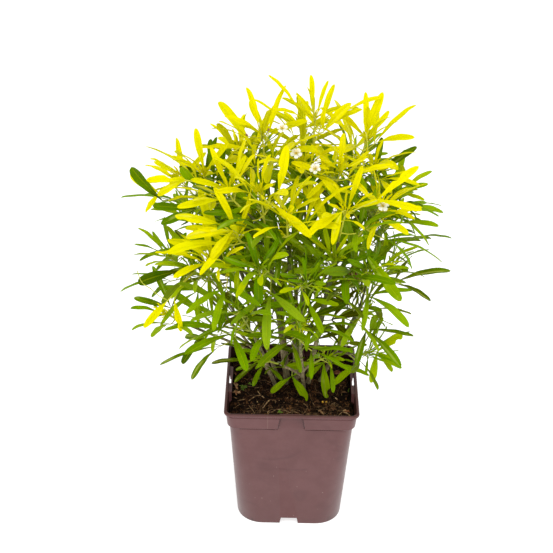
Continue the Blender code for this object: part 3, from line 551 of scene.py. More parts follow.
def smooth(points, radii, steps):
    """A finer line through the same points, with radii to match."""
    line, sizes = [], []
    for i in range(len(points) - 1):
        p0, p1, p2 = points[max(i - 1, 0)], points[i], points[i + 1]
        p3 = points[min(i + 2, len(points) - 1)]
        reach = (p2 - p1).length
        a, b = (p2 - p0).normalized() * reach, (p3 - p1).normalized() * reach
        for t in (k / steps for k in range(steps)):
            line.append(p1 * (2 * t ** 3 - 3 * t ** 2 + 1) + a * (t ** 3 - 2 * t ** 2 + t)
                        + p2 * (3 * t ** 2 - 2 * t ** 3) + b * (t ** 3 - t ** 2))
            sizes.append(radii[i] * (1 - t) + radii[i + 1] * t)
    return line + [points[-1]], sizes + [radii[-1]]


def find_bud(bm):
    """Tip of a shoot and the way that it points: the low pyramid at its end."""
    for v in bm.verts:
        lengths = [e.calc_length() for e in v.link_edges]
        if len(lengths) == 4 and min(lengths) > BUD_EDGES[0] and max(lengths) < BUD_EDGES[1]:
            ring = [e.other_vert(v).co for e in v.link_edges]
            foot = middle(ring)
            if max((p - foot).length for p in ring) < BUD_FOOT:
                return v.co.copy(), (v.co - foot).normalized()
    raise RuntimeError("a shoot has no bud")


# ---- leaves ------------------------------------------------------------------------------------
GOLD_FLOOR = 0.29  # height under which a golden shoot's leaves have gone green
GOLD_FULL = 0.43  # height from which they are all vivid
LOW_LEAVES = 0.31  # height under which leaflets grow slim and blunt
TOP_LEAVES = 0.455  # height above which leaflets are narrower
INNER_GOLD = 0.384  # height from which inner leaves begin to be golden
YOUNG = 0.06  # how far down from its bud a shoot is still young


def unit(value):
    return max(0.0, min(1.0, value))


class Space:
    """Leaf room that is already taken."""

    def __init__(self):
        self.taken = []

    def box(self, points):
        return [min(p[i] for p in points) for i in range(3)], [max(p[i] for p in points) for i in range(3)]

    def tree(self, points, faces):
        return BVHTree.FromPolygons([tuple(p) for p in points], faces)

    def add(self, points, faces):
        self.taken.append((*self.box(points), self.tree(points, faces)))

    def blocked(self, points, faces):
        low, high = self.box(points)
        near = [other for lo, hi, other in self.taken
                if all(lo[i] <= high[i] and hi[i] >= low[i] for i in range(3))]
        tree = self.tree(points, faces) if near else None
        return any(tree.overlap(other) for other in near)


def new_leaf(root, way, normal, stalk, blade, fan, droop, arch, slim, rng):
    """A palmate leaf as a plan: stalk points, and each leaflet's base, middle, tip and upper side.

    stalk and blade are lengths, fan and droop degrees, and arch and slim (the width) shares of a
    leaflet's length.
    """
    way = way.normalized()
    up = (normal - way * normal.dot(way)).normalized()
    side = up.cross(way)
    bow = up * (-0.06 * stalk) + side * (rng.uniform(-0.06, 0.06) * stalk)
    hub = root + way * stalk
    bend = Quaternion(side, math.radians(droop))
    leaflets = []
    for turn, length in ((0.0, blade), (fan, 0.84 * blade), (-fan, 0.84 * blade)):
        spin = Quaternion(up, math.radians(turn + rng.uniform(-4, 4)))
        out = (bend @ (spin @ way)).normalized()
        across = spin @ side
        top = out.cross(across)
        top = top if top.dot(up) > 0 else -top
        base = hub + out * (0.3 * MM)
        leaflets.append({
            "base": base, "mid": base + out * (0.6 * length) + top * (length * arch),
            "tip": base + out * length - top * (0.04 * length), "up": top, "width": length * slim,
            "side": across})
    return {"stalk": [root, root.lerp(hub, 0.5) + bow, hub], "leaflets": leaflets}


def kite(base, mid, tip, half):
    """Two faces that stand for a leaflet when looking for room."""
    return [base, mid - half, mid + half, tip], [(0, 2, 1), (1, 2, 3)]


def kites(leaf):
    points, faces = [], []
    for one in leaf["leaflets"]:
        corners, pair = kite(one["base"], one["mid"], one["tip"], one["side"] * (one["width"] * 0.5))
        faces += [tuple(i + len(points) for i in face) for face in pair]
        points += corners
    return points, faces


def draw_leaf(build, leaf, tone, chance, rng, thick=0.62, bite=0.04, **form):
    """The leaf as planned; thick is its stalk's radius in mm."""
    a, b, c = leaf["stalk"]
    line = [a.lerp(b, s).lerp(b.lerp(c, s), s) for s in (0.0, 0.25, 0.5, 0.75, 1.0)]
    tube(build, line, [thick * share for share in (1.25, 1.0, 0.9, 0.9, 1.05)], 6, 1, tone * 0.7 + 0.25)
    for one in leaf["leaflets"]:
        leaflet(build, one["base"], one["mid"], one["tip"], one["up"], one["width"], rng,
                tone + rng.uniform(-0.03, 0.03), chance, 0, bite, **form)


def gold_tone(place, age, rng):
    """Vivid at the tip of a shoot; the oldest leaves, and those lower down, go green."""
    low = unit((GOLD_FULL - place.z) / 0.10)
    if place.z < GOLD_FLOOR or (age > 0.36 and rng.random() < 0.05 + 0.95 * low ** 1.5):
        return rng.uniform(0.24, 0.50)
    return 1.03 - 0.12 * age - 0.05 * low + rng.uniform(-0.07, 0.05)


def green_tone_with_painted_light_and_shade(place, age, rng):
    """Mid green outside and deep green inside the crown as painted shade, lighter low in front as painted
    light, and lighter on the youngest leaves.
    """
    out = min(1.0, (place - CROWN).length / 0.16)
    front = unit((0.30 - place.z) / 0.09) * unit(0.3 - place.y / 0.06)
    # out darkens leaves deep in the crown as painted shade; front lightens low leaves in front as painted
    # light
    return 0.40 * out ** 2 + 0.15 * front + 0.16 * max(0.0, 1.0 - age * 1.6) + rng.uniform(-0.14, 0.18)


def sprout(build, root, aim, normal, tone, rng):
    """A tuft of tiny new leaves where a leaf stalk meets its twig."""
    aim = aim.normalized()
    foot = root + aim * rng.uniform(1.0, 4.0) * MM
    tube(build, [root, root.lerp(foot, 0.5), foot], (0.45, 0.38, 0.34), 5, 1, tone)
    for _ in range(rng.choice((1, 2, 2, 3))):
        out = (aim + any_way(rng, 0.5)).normalized()
        size = rng.uniform(5.0, 13.0) * MM
        leaf = new_leaf(foot, out, normal + out.orthogonal() * 0.4, size * 0.22, size,
                        rng.uniform(24, 40), 0.0, 0.03, rng.uniform(0.17, 0.24), rng)
        draw_leaf(build, leaf, tone, 0.0, rng, thick=0.3, bite=0.0, rows=8, columns=FEW_ACROSS)


def dress_leaf(build, leaf, bud, gold, space, rng):
    """The leaflets of one leaf of a shoot."""
    place = leaf[0]["base"]
    tone = (gold_tone if gold else green_tone_with_painted_light_and_shade)(place, min(1.0, (place - bud).length / YOUNG), rng)
    chance = rng.random()
    low = unit((LOW_LEAVES - place.z) / 0.08)
    for blade in leaf:
        base, mid, tip, up = (blade[key] for key in ("base", "mid", "tip", "up"))
        width = blade["width"] * (rng.uniform(0.88, 1.10) if gold else rng.uniform(0.78, 1.12) - 0.22 * low)
        width *= 0.84 if tip.z > TOP_LEAVES else 1.0
        leaflet(build, base, mid.lerp(blade["keel"], 0.75), tip, up, width, rng,
                tone + rng.uniform(-0.05, 0.05), chance,
                widest=0.62 + 0.10 * low, slim_foot=0.13 - 0.04 * low, blunt=2.3 + 0.4 * low)
        half = (tip - base).cross(up).normalized() * (blade["width"] * 0.5)
        space.add(*kite(base, mid, tip + up * (0.01 * (tip - base).length), half))


def dress_shoot(node, space):
    """One leafy shoot: its stem, leaf stalks and leaflets, and the young leaves round its bud."""
    rng = random.Random(node)
    gold = node.startswith("gold")
    bm = shared_points(node)
    blades = find_blades(bm, 5.0 * MM)
    bud, way = find_bud(bm)
    leaves = gather(blades)
    build = Build()
    for leaf in leaves:
        dress_leaf(build, leaf, bud, gold, space, rng)
    hubs = [middle([blade["base"] for blade in leaf]) for leaf in leaves]
    cut_blades(bm, blades)
    line, radii, roots = find_stem(bm, bud, hubs)
    bm.free()
    fine, sizes = smooth(line, radii, 5)
    top, low = (1.0, 0.78) if gold else (0.78, 0.42)
    tube(build, fine, sizes, 8, 1, [top + (low - top) * min(1.0, (p - bud).length / YOUNG) for p in fine])
    for root, hub in zip(roots, hubs):
        out = hub - root
        bow = root.lerp(hub, 0.5) - UP * (0.07 * out.length)
        line, sizes = smooth([root, root.lerp(bow, 0.5), bow, hub], (1.05, 0.62, 0.52, 0.60), 3)
        tube(build, line, sizes, 6, 1, top + 0.04 - 0.10 * rng.random())
        if rng.random() < 0.6:
            sprout(build, root, out.normalized() + way * rng.uniform(0.4, 1.2), way,
                   (0.90 if gold else 0.60) + rng.uniform(-0.10, 0.14), rng)
    spin = rng.uniform(0, math.tau)
    for k in range(3):
        out = Quaternion(way, spin + k * 2.1) @ way.orthogonal().normalized()
        lean = math.radians(rng.uniform(14, 40))
        size = rng.uniform(9, 19) * MM
        leaf = new_leaf(bud - way * (1.6 * MM), way * math.cos(lean) + out * math.sin(lean),
                        UP * 0.4 + way - out * 0.3, size * 0.16, size,
                        rng.uniform(22, 36), -6.0, 0.03, 0.15, rng)
        tone = (0.98 if gold else 0.58) + rng.uniform(-0.06, 0.05)
        draw_leaf(build, leaf, tone, rng.random(), rng, thick=0.4, bite=0.0)
    build.piece(f"{node}_leaves", (LEAF, TWIG), "gold_leaf" if gold else "green_leaf", node)
    return [(p, (q - p).orthogonal().normalized()) for p, q in zip(fine[4:], fine[5:])]


def dress_stem(node):
    """One woody stem with rounded forks and a rough skin; returns spots on its skin."""
    wood = bare_wood(shared_points(node), 2, 0.35 * MM)
    build = Build()
    build.add_mesh(wood, 0, 0.0)
    for i, v in enumerate(wood.vertices):
        x, y, z = v.co
        lump = noise.noise(Vector((x * 260, y * 260, z * 45)))
        fine = noise.noise(Vector((x * 900, y * 900, z * 160)))
        old = unit((0.27 - z) / 0.09)
        push = (0.28 * lump + 0.14 * fine) * (0.35 + old) * MM
        build.points[i] = v.co + wood.vertex_normals[i].vector * push
        build.marks["tone"][i] = 1.0 - old
    build.piece(f"{node}_bark", (BARK,), "wood", node)
    return [(face.center.copy(), face.normal.copy()) for face in wood.polygons]


def add_inner_leaves(name, spots, space, seed, wanted, low, high, radii, spun):
    """Older leaves inside the bush, rooted on its branches between two heights.

    Each is kept where it has room and stays within an oval of these radii. spun roots them on any
    side of a twig.
    """
    rng = random.Random(seed)
    spots = [spot for part in spots for spot in part if low < spot[0].z < high]
    build = Build()
    for _ in range(wanted * 40):
        root, normal = spots[rng.randrange(len(spots))]
        spin = Quaternion(UP, rng.uniform(0, math.tau))
        normal = spin @ normal if spun else normal
        away = Vector((root.x - CROWN.x, root.y - CROWN.y, 0.0))
        away = away.normalized() if away.length > 5 * MM else Vector((0, -1, 0))
        aim = normal * rng.uniform(0.4, 1.0) + away * rng.uniform(0.1, 1.0) + UP * rng.uniform(0.0, 0.9)
        if aim.length < 0.3:
            continue
        face_up = UP + away * 0.4 + any_way(rng, 0.5)
        scale = rng.uniform(0.70, 1.0)
        leaf = new_leaf(root - normal * (0.4 * MM), aim, face_up, rng.uniform(9, 20) * MM * scale,
                        rng.uniform(42, 58) * MM * scale, rng.uniform(44, 60), -rng.uniform(0, 26),
                        rng.uniform(0.03, 0.07), rng.uniform(0.14, 0.18), rng)
        points, faces = kites(leaf)
        reach = max((p.x / radii[0]) ** 2 + ((p.y - 0.01) / radii[1]) ** 2 + ((p.z - 0.28) / radii[2]) ** 2
                    for p in points)
        if reach > 1.0 or min(p.z for p in points) < SOIL_Z + 4 * MM or space.blocked(points, faces):
            continue
        space.add(points, faces)
        place = leaf["stalk"][2]
        tone = green_tone_with_painted_light_and_shade(place, 0.8, rng)
        if rng.random() < (place.z - INNER_GOLD) / 0.014:
            tone = rng.uniform(0.80, 1.0)
        draw_leaf(build, leaf, tone, rng.random(), rng)
        wanted -= 1
        if not wanted:
            break
    build.piece(name, (LEAF, TWIG), "green_leaf")


STANDOUT = (  # hub, tone, upper side, then tip and width of each leaflet, all lengths in mm
    ((0, -20, 167), 0.55, (0, -0.6, 1), ((-22, -30, 152), 6.5), ((16, -32, 143), 9.5), ((14, -20, 176), 4.5)),
    ((33, -14, 181), 0.53, (0, -0.9, 0.7), ((35, -26, 142), 9.5), ((-7, -22, 177), 8.0),
     ((16, -12, 160), 6.0)),
    ((68, -20, 182), 0.55, (0, -0.5, 1), ((42, -36, 168), 8.5)),
    ((86, -40, 212), 0.60, (0, -0.7, 0.8), ((80, -52, 181), 8.5), ((108, -50, 241), 9.0),
     ((108, -52, 202), 7.5), ((103, -48, 193), 5.5)),
    ((78, -30, 227), 0.36, (0, -0.8, 0.6), ((84, -34, 252), 8.0)),
    ((64, -70, 345), 0.55, (-0.3, -0.7, 0.7), ((103, -86, 296), 11.0)),
    ((-123, -92, 297), 0.98, (0.4, -0.6, 0.7), ((-146, -100, 273), 7.5)),
    ((-116, -90, 298), 0.95, (0, -1, 0.3), ((-108, -98, 266), 6.5)),
    ((13, -10, 468), 1.0, (0.3, -1, 0.2), ((9, -10, 498), 5.5)),
    ((24, -20, 445), 1.0, (-0.4, -0.8, 0.5), ((48, -32, 480), 8.0), ((22, -28, 472), 5.0)),
    ((66, 0, 436), 1.0, (-0.2, -1, 0.2), ((80, 2, 478), 9.0), ((66, 4, 462), 7.0)),
    ((-112, -50, 308), 0.18, (0, -0.6, 0.8), ((-154, -62, 299), 11.5)),
    ((-106, -60, 306), 0.22, (-0.4, -0.8, 0.6), ((-128, -70, 280), 9.5)),
    ((-87, -50, 240), 0.25, (-0.2, -0.7, 0.7), ((-112, -60, 203), 8.0)),
    ((-48, -100, 344), 0.30, (0, -0.5, 0.8), ((-75, -104, 343), 10.0)),
    ((-37, -98, 342), 0.40, (0, -1, 0.2), ((-34, -106, 303), 9.0)),
    ((-20, -110, 408), 1.0, (0.2, -0.6, 0.8), ((12, -124, 385), 8.5), ((-8, -112, 398), 6.5)),
    ((-59, -108, 383), 0.98, (-0.4, -0.7, 0.7), ((-78, -118, 357), 8.5), ((-105, -100, 372), 8.0)),
    ((40, -108, 404), 1.0, (0, -0.6, 0.8), ((8, -122, 388), 9.0), ((30, -122, 378), 7.0)),
    ((74, -78, 402), 1.0, (-0.3, -0.7, 0.7), ((112, -62, 430), 8.0), ((116, -78, 392), 7.0)),
    ((-18, -98, 418), 1.0, (0, -1, 0.3), ((-11, -84, 459), 9.0)),
    ((-130, -30, 374), 0.30, (-0.4, -1, 0.3), ((-158, -36, 412), 11.0)),
    ((-134, -18, 376), 0.95, (-0.2, -0.8, 0.6), ((-163, -20, 396), 9.0), ((-148, -30, 361), 6.5)),
    ((-97, -50, 400), 0.48, (0, -1, 0.4), ((-109, -52, 421), 9.5)),
    ((-107, -54, 408), 0.97, (0, -0.8, 0.7), ((-143, -56, 409), 7.5), ((-133, -58, 392), 7.0)),
    ((-96, -50, 376), 0.28, (0, -0.9, 0.5), ((-138, -55, 380), 8.0), ((-130, -60, 362), 9.0)),
    ((-71, -76, 399), 0.97, (0, -0.8, 0.6), ((-112, -86, 396), 7.0)),
    ((-70, -86, 377), 0.95, (0, -0.8, 0.6), ((-113, -90, 390), 8.0)),
)


def add_standout_leaves(spots):
    """Single leaves that hang clear of the rest, each on a stalk from the nearest wood."""
    rng = random.Random(21)
    build = Build()
    for hub, tone, up, *leaflets in STANDOUT:
        hub, up = Vector(hub) * MM, Vector(up)
        back = (hub - middle([Vector(tip) * MM for tip, _ in leaflets])).normalized()
        root = nearest(spots, hub + back * (10 * MM))
        bow = root.lerp(hub, 0.55) + back * (0.10 * (hub - root).length)
        tube(build, *smooth([root, bow, hub], (0.9, 0.55, 0.6), 5), 6, 1, min(1.0, tone * 0.7 + 0.3))
        widest, blunt = (0.60, 2.1) if tone > 0.8 else (0.68, 2.5)
        for tip, width in leaflets:
            tip = Vector(tip) * MM
            mid = hub.lerp(tip, MID) + up.normalized() * (0.07 * (tip - hub).length)
            leaflet(build, hub, mid, tip, up, width * MM, rng, tone + rng.uniform(-0.04, 0.04), rng.random(),
                    bite=0.25, widest=widest, slim_foot=0.10, blunt=blunt)
    build.piece("standout_leaves", (LEAF, TWIG), "green_leaf")


BUDS = (  # tip of each flower bud, its length (mm), and whether it has browned
    ((-50, -30, 446), 5.5, True), ((-28, -30, 452), 5.5, True), ((-38, -24, 455), 4.5, False),
    ((35, -60, 382), 5.0, False), ((20, -42, 430), 4.5, False), ((66, -52, 398), 4.5, False),
)
BARE_STALK = ((-123, -92, 299), (-138, -89, 309), (-151, -86, 327))  # foot, bend and tip (mm)
WITHERED = (58, -4, 292)  # foot of the withered leaf (mm)
WITHERED_TIPS = (((55, -8, 272), 7.0), ((64, -6, 276), 5.0), ((50, -6, 280), 4.0))  # and widths (mm)
STAMENS = 9


def nearest(spots, place):
    return min(spots, key=lambda p: (p - place).length)


def add_small_growth(spots):
    """Flower buds on thin stalks, a leaf stalk that lost its leaf, and a withered leaf."""
    rng = random.Random(33)
    build = Build()

    def thin(foot, tip, bow):
        line, sizes = smooth([foot, foot.lerp(tip, 0.5) + Vector(bow) * MM, tip], (0.50, 0.36, 0.42), 5)
        tube(build, line, sizes, 6, 0, 0.85)

    for tip, size, brown in BUDS:
        tip = Vector(tip) * MM
        root = nearest(spots, tip - UP * (16 * MM))
        way = ((tip - root).normalized() + UP * 0.4).normalized()
        foot = tip - way * (size * MM)
        thin(root, foot, (rng.uniform(-1, 1), rng.uniform(-1, 1), -0.5))
        tube(build, [foot.lerp(tip, share) for share in (0.0, 0.15, 0.45, 0.75, 1.0)],
             (0.4, 0.75, 1.05, 0.70, 0.15), 8, 1 if brown else 2, 0.45)
    foot, bend, tip = (Vector(place) * MM for place in BARE_STALK)
    thin(foot, bend, (0.0, 0.0, -1.5))
    thin(bend, tip, (-2.0, 0.0, -3.0))
    foot = Vector(WITHERED) * MM
    thin(nearest(spots, foot), foot, (0, 0, 0))
    for tip, width in WITHERED_TIPS:
        tip = Vector(tip) * MM
        mid = foot.lerp(tip, MID) + Vector((0, -3.0, 0)) * MM
        leaflet(build, foot, mid, tip, (0.2, -1, 0.1), width * MM, rng, tone=0.15, chance=0.0,
                slot=1, bite=0.8, fold=0.9, rows=12, columns=FEW_ACROSS)
    build.piece("buds_and_stalks", (TWIG, DRY, PETAL), "green_leaf")


def along(foot, way, heights):
    """Points at these heights (mm) over a foot."""
    return [foot + way * (height * MM) for height in heights]


def dress_flower(node):
    """A white flower: petals, a ring of stamens, an orange pistil and its stalk."""
    rng = random.Random(node)
    bm = shared_points(node)
    blades = find_blades(bm, 1.6 * MM)
    centre = middle([blade["base"] for blade in blades])
    axis = sum((blade["up"] for blade in blades), Vector()).normalized()
    build = Build()
    for blade in blades:
        reach = blade["tip"] - blade["base"]
        tip = blade["tip"] - reach * rng.uniform(-0.04, 0.10)
        leaflet(build, blade["base"] - reach * 0.08, blade["mid"], tip, axis * 0.8 + blade["up"],
                blade["width"] * rng.uniform(1.4, 1.7), rng, tone=0.0, chance=0.0, bite=0.0,
                fold=0.14, widest=0.62, slim_foot=0.25, blunt=2.6, groove=0.05 * MM)
    for k in range(STAMENS):
        turn = math.tau * k / STAMENS + rng.uniform(-0.15, 0.15)
        out = Quaternion(axis, turn) @ axis.orthogonal().normalized()
        foot = centre + out * (0.7 * MM)
        top = foot + axis * (rng.uniform(2.2, 3.0) * MM) + out * (rng.uniform(0.8, 1.6) * MM)
        tube(build, [foot, foot.lerp(top, 0.5) + axis * (0.2 * MM), top], [0.15] * 3, 5)
        tube(build, along(top, axis, (-0.5, 0.0, 0.5)), (0.20, 0.42, 0.20), 6, 2)
    tube(build, along(centre, axis, (0.0, 1.2, 2.4, 2.9)), (0.7, 0.5, 0.25, 0.45), 8, 2)
    cut_blades(bm, blades)
    build.add_mesh(bare_wood(bm, 1, 0.1 * MM), 1, 0.6)
    build.piece(f"{node}_bloom", (PETAL, TWIG, ANTHER), "petal", node)


# ---- pot: sizes in mm --------------------------------------------------------------------------
RIM, TOP = POT_HIGH.x / MM, RIM_Z / MM  # half width over the rim, and height
BODY, BASE = RIM - 5.4, RIM - 13.6  # half widths under the collar and at the foot
RECESS = RIM - 5.6  # depth of the stacking recesses, from the middle
INNER = RIM - 3.2  # half width inside the rim
WALL = 1.2
UNDER_LIP = TOP - 3.1
STEP_Z = TOP - 18.9  # foot of the collar
STEP_H = 1.7
NOTCH_W, NOTCH_H = 10.0, 7.9  # half width of the drain channels at the ground, and their height
CHANNEL_START = 31.0  # from the middle
FRONT_RECESS = (11.0, 14.0)  # half width at its top and foot
SIDE_RECESS = (23.0, 25.0)
RECESS_SLOPE = 0.6
NICK, NICK_W = 0.5, 0.6  # narrow groove at the foot of a recess's side walls: depth and width
LABEL_SLOT = Vector((16.0, 2.0, 2.2))  # size of the slot inside the rim
LABEL_SPOT = Vector((0.0, -65.55, TOP - 2.6))
HOLE_R = 4.0
HOLES = Vector((0.0, -38.0, NOTCH_H + 0.5 * WALL)), Vector((29.0, -29.0, 1.0))  # in the channel and the floor
CORNER_STEPS = 12
TURNS = [Quaternion(UP, math.radians(90.0 * side)) for side in range(4)]


def outline(half, radius, z, level=0.0, recess=None, nick=0.0, grow=0.0):
    """Rounded square, counter-clockwise, with corners on each side for a recess and its grooves.

    level runs from 0 at a recess's top to 1 at its foot, recess is how far out its face lies, nick
    is its grooves' depth, and grow widens it.
    """
    plane = half if recess is None else recess
    corner = half - radius
    points = []
    for turn, (top, low) in zip(TURNS, (FRONT_RECESS, SIDE_RECESS) * 2):
        w = top + (low - top) * level + grow
        left = [(-w - RECESS_SLOPE, half), (-w, plane - nick), (-w + NICK_W, plane - nick),
                (-w + 1.2 * NICK_W, plane)]
        local = left + [(-t, out) for t, out in reversed(left)]
        for i in range(CORNER_STEPS + 1):
            a = math.radians(90.0 * i / CORNER_STEPS)
            local.append((corner + radius * math.sin(a), corner + radius * math.cos(a)))
        points += [turn @ Vector((t, -out, z)) * MM for t, out in local]
    return points


def loft(bm, rings):
    """A closed skin through rings of points; returns the face at its end."""
    made = [[bm.verts.new(p) for p in ring] for ring in rings]
    for low, high in zip(made, made[1:]):
        for i in range(len(low)):
            j = (i + 1) % len(low)
            bm.faces.new((low[i], low[j], high[j], high[i]))
    bm.faces.new(made[0][::-1])
    return bm.faces.new(made[-1])


def pot_rings():
    """The pot's skin, from the edge of its underside over the rim to its inner floor; see outline."""
    low, high = RIM - 3.3, RIM - 2.0  # half widths of the collar at its foot and under the lip
    return [outline(*row) for row in (
        (BASE - 1.1, 27.0, 0.0, 1.0),
        (BASE - 0.35, 27.7, 0.35, 1.0),
        (BASE, 28.0, 1.3, 1.0),
        (BODY - 0.5, 15.2, STEP_Z - 9.0, 1.0),
        (BODY - 0.03, 14.6, STEP_Z - 2.3, 1.0),
        (BODY - 0.55, 14.1, STEP_Z - 2.1, 1.0, BODY - 0.01),
        (BODY - 0.55, 14.0, STEP_Z - 0.5, 1.0, BODY),
        (low - 0.4, 11.2, STEP_Z - 0.45, 1.0, BODY + 0.01),
        (low, 11.0, STEP_Z, 1.0, BODY, NICK),
        (low + 0.05, 11.0, STEP_Z + 0.8, 0.97, BODY, NICK),
        (high - 0.18, 9.2, UNDER_LIP - 2.7, 0.16, RECESS, NICK),
        (high - 0.48, 9.1, UNDER_LIP - 2.5, 0.15, RECESS, NICK),
        (high - 0.45, 9.0, UNDER_LIP - 1.7, 0.10, RECESS, NICK),
        (high - 0.10, 9.0, UNDER_LIP - 1.5, 0.09, RECESS, NICK),
        (high, 8.9, UNDER_LIP - 0.1, 0.0, RECESS, NICK),
        (RIM - 0.6, 8.6, UNDER_LIP),
        (RIM - 0.15, 8.4, UNDER_LIP + 0.35),
        (RIM, 8.2, TOP - 1.4),
        (RIM - 0.25, 8.0, TOP - 0.6),
        (RIM - 0.8, 7.5, TOP - 0.1),
        (RIM - 1.3, 7.0, TOP),
        (RIM - 2.3, 6.2, TOP),
        (RIM - 2.9, 6.2, TOP - 0.25),
        (INNER, 6.2, TOP - 0.9),
        (INNER, 7.0, TOP - 1.9, 0.0, None, 0.0, WALL),
        (INNER, 7.2, TOP - 2.1, 0.0, RECESS - WALL, 0.0, WALL),
        (low - WALL, 9.8, STEP_Z + 0.6, 1.0, BODY - WALL, 0.0, WALL),
        (BODY - WALL, 13.3, STEP_Z - STEP_H + 0.6, 1.0, None, 0.0, WALL),
        (BASE - WALL, 26.8, 1.6, 1.0, None, 0.0, WALL),
    )]


def channel(bm, grow, inner, outer, bottom):
    """Four bars with the drain channels' trapezoid, one along each side's middle line."""
    top = NOTCH_H + grow
    wide, narrow = (NOTCH_W - 1.4 * z / NOTCH_H + grow for z in (bottom, top))
    corners = ((-wide, bottom), (wide, bottom), (narrow, top), (-narrow, top))
    for turn in TURNS:
        loft(bm, [[turn @ Vector((t, -out, z)) * MM for t, z in corners] for out in (inner, outer)])


def dress_pot():
    """The pot's shell, with drain channels, drain holes and label slots."""
    shell = bmesh.new()
    loft(shell, pot_rings())
    humps, channels, slots, drains = rough = [bmesh.new() for _ in range(4)]
    channel(humps, WALL, CHANNEL_START - WALL, BASE - 0.9, 0.8)
    channel(channels, 0.0, CHANNEL_START, BASE + 4.0, -2.0)
    for turn in TURNS:
        for v in bmesh.ops.create_cube(slots, size=1.0)["verts"]:
            v.co = turn @ (v.co * LABEL_SLOT + LABEL_SPOT) * MM
        for spot in HOLES:
            hole = bmesh.ops.create_cone(drains, cap_ends=True, segments=32, radius1=HOLE_R * MM,
                                         radius2=HOLE_R * MM, depth=6.0 * MM)
            for v in hole["verts"]:
                v.co = turn @ (v.co + spot * MM)
    pot = solid("pot_shell", shell)
    tools = [solid(name, bm) for name, bm in zip(("humps", "channels", "slots", "drains"), rough)]
    for tool in tools:
        change = pot.modifiers.new(tool.name, "BOOLEAN")
        change.operation = "UNION" if tool.name == "humps" else "DIFFERENCE"
        change.object = tool
    mesh = final_mesh(pot)
    pot.modifiers.clear()
    pot.data = mesh
    for tool in tools:
        bpy.data.objects.remove(tool)
    mesh.materials.clear()
    mesh.materials.append(POT)
    mesh.materials.append(POT_INSIDE)
    # faces of the inner walls take the inner look, with its soil stains and painted shade
    for face in mesh.polygons:
        spot = face.center
        inward = face.normal.xy.dot(spot.xy) < -0.3 * spot.xy.length
        face.material_index = int(inward and 20 * MM < spot.z < RIM_Z - 0.5 * MM)
    mesh.shade_smooth()
    mesh.set_sharp_from_angle(angle=math.radians(32))
    dress(pot, "pot", "pot")


# ---- soil --------------------------------------------------------------------------------------
SOIL_AROUND, SOIL_ROWS = 260, 64  # points round the compost, and rings from its edge to its middle


def soil_point(x, y, lift=0.0):
    """A point on the compost, or over it: a low heap round the stems, clods and grit."""
    heap = 2.2 * MM * math.exp(-((x - 7 * MM) ** 2 + (y - 16 * MM) ** 2) / (30 * MM) ** 2)
    wave = 0.7 * MM * math.sin(x * 95.0 + 0.6) * math.cos(y * 80.0 + 1.1)
    clod = noise.fractal(Vector((x * 130, y * 130, 3.1)), 0.8, 2.0, 4) * 1.9 * MM
    grit = noise.noise(Vector((x * 700, y * 700, 7.7))) * 0.8 * MM
    return Vector((x, y, SOIL_Z + heap + wave + clod + grit + lift))


def on_soil(x, y, lift=0.0):
    """soil_point with all lengths in mm."""
    return soil_point(x * MM, y * MM, lift * MM)


def soil_spot(rng, edge=56.0):
    """A chance point on the compost, no further than edge (mm) from the middle either way."""
    return on_soil(rng.uniform(-edge, edge), rng.uniform(-edge, edge))


def spread(points):
    """Points at equal steps round a closed line."""
    loop = points + points[:1]
    lengths = [0.0]
    for a, b in zip(loop, loop[1:]):
        lengths.append(lengths[-1] + (b - a).length)
    out = []
    i = 0
    for k in range(SOIL_AROUND):
        s = lengths[-1] * k / SOIL_AROUND
        while lengths[i + 1] < s:
            i += 1
        out.append(loop[i].lerp(loop[i + 1], (s - lengths[i]) / max(lengths[i + 1] - lengths[i], 1e-9)))
    return out


def dress_soil():
    """The compost: a body that fits the pot's inside, with a rough top."""
    gap = WALL + 0.15  # the pot's wall and a little air
    rings = [spread(outline(*row)) for row in (
        (BASE + 0.5 - gap, 26.0, NOTCH_H + WALL + 0.5),
        (BODY - 0.1 - gap, 13.0, STEP_Z - STEP_H + 0.5),
        (BODY - 0.1 - gap, 10.0, STEP_Z + 1.5),
        (INNER - gap, 9.0, SOIL_Z / MM - 1.2, 0.8, RECESS - gap, 0.0, gap))]
    edge = rings[-1]
    for i in range(SOIL_ROWS):
        share = 1.0 - (i / SOIL_ROWS) ** 1.1
        rings.append([soil_point(p.x * share, p.y * share, 0.0 if i else -1.0 * MM) for p in edge])
    bm = bmesh.new()
    bmesh.ops.poke(bm, faces=[loft(bm, rings)])
    soil = solid("compost", bm)
    soil.data.materials.append(SOIL)
    soil.data.shade_smooth()
    dress(soil, "soil", "potting_soil")


def pebble(build, centre, size, rng, slot=0, rough=0.3, tone=0.0, rings=5, around=7):
    """A small closed lump: a ball of rings pushed in and out."""
    turn = Quaternion(any_way(rng).normalized(), rng.uniform(0, math.tau))
    seed = Vector((rng.uniform(0, 50), 0, 0))
    points = []
    for i in range(rings + 2):
        for k in range(around if 0 < i <= rings else 1):
            polar, a = math.pi * i / (rings + 1), math.tau * k / around
            way = Vector((math.sin(polar) * math.cos(a), math.sin(polar) * math.sin(a), math.cos(polar)))
            push = 1.0 + rough * noise.noise(way * 1.7 + seed)
            points.append(centre + turn @ (way * Vector(size)) * push)
    faces = []
    last = 1 + (rings - 1) * around
    for k in range(around):
        j = (k + 1) % around
        faces.append((0, 1 + k, 1 + j))
        faces += [(a + k, a + around + k, a + around + j, a + j) for a in range(1, last, around)]
        faces.append((last + k, len(points) - 1, last + j))
    build.add(points, faces, slot, tone=tone)


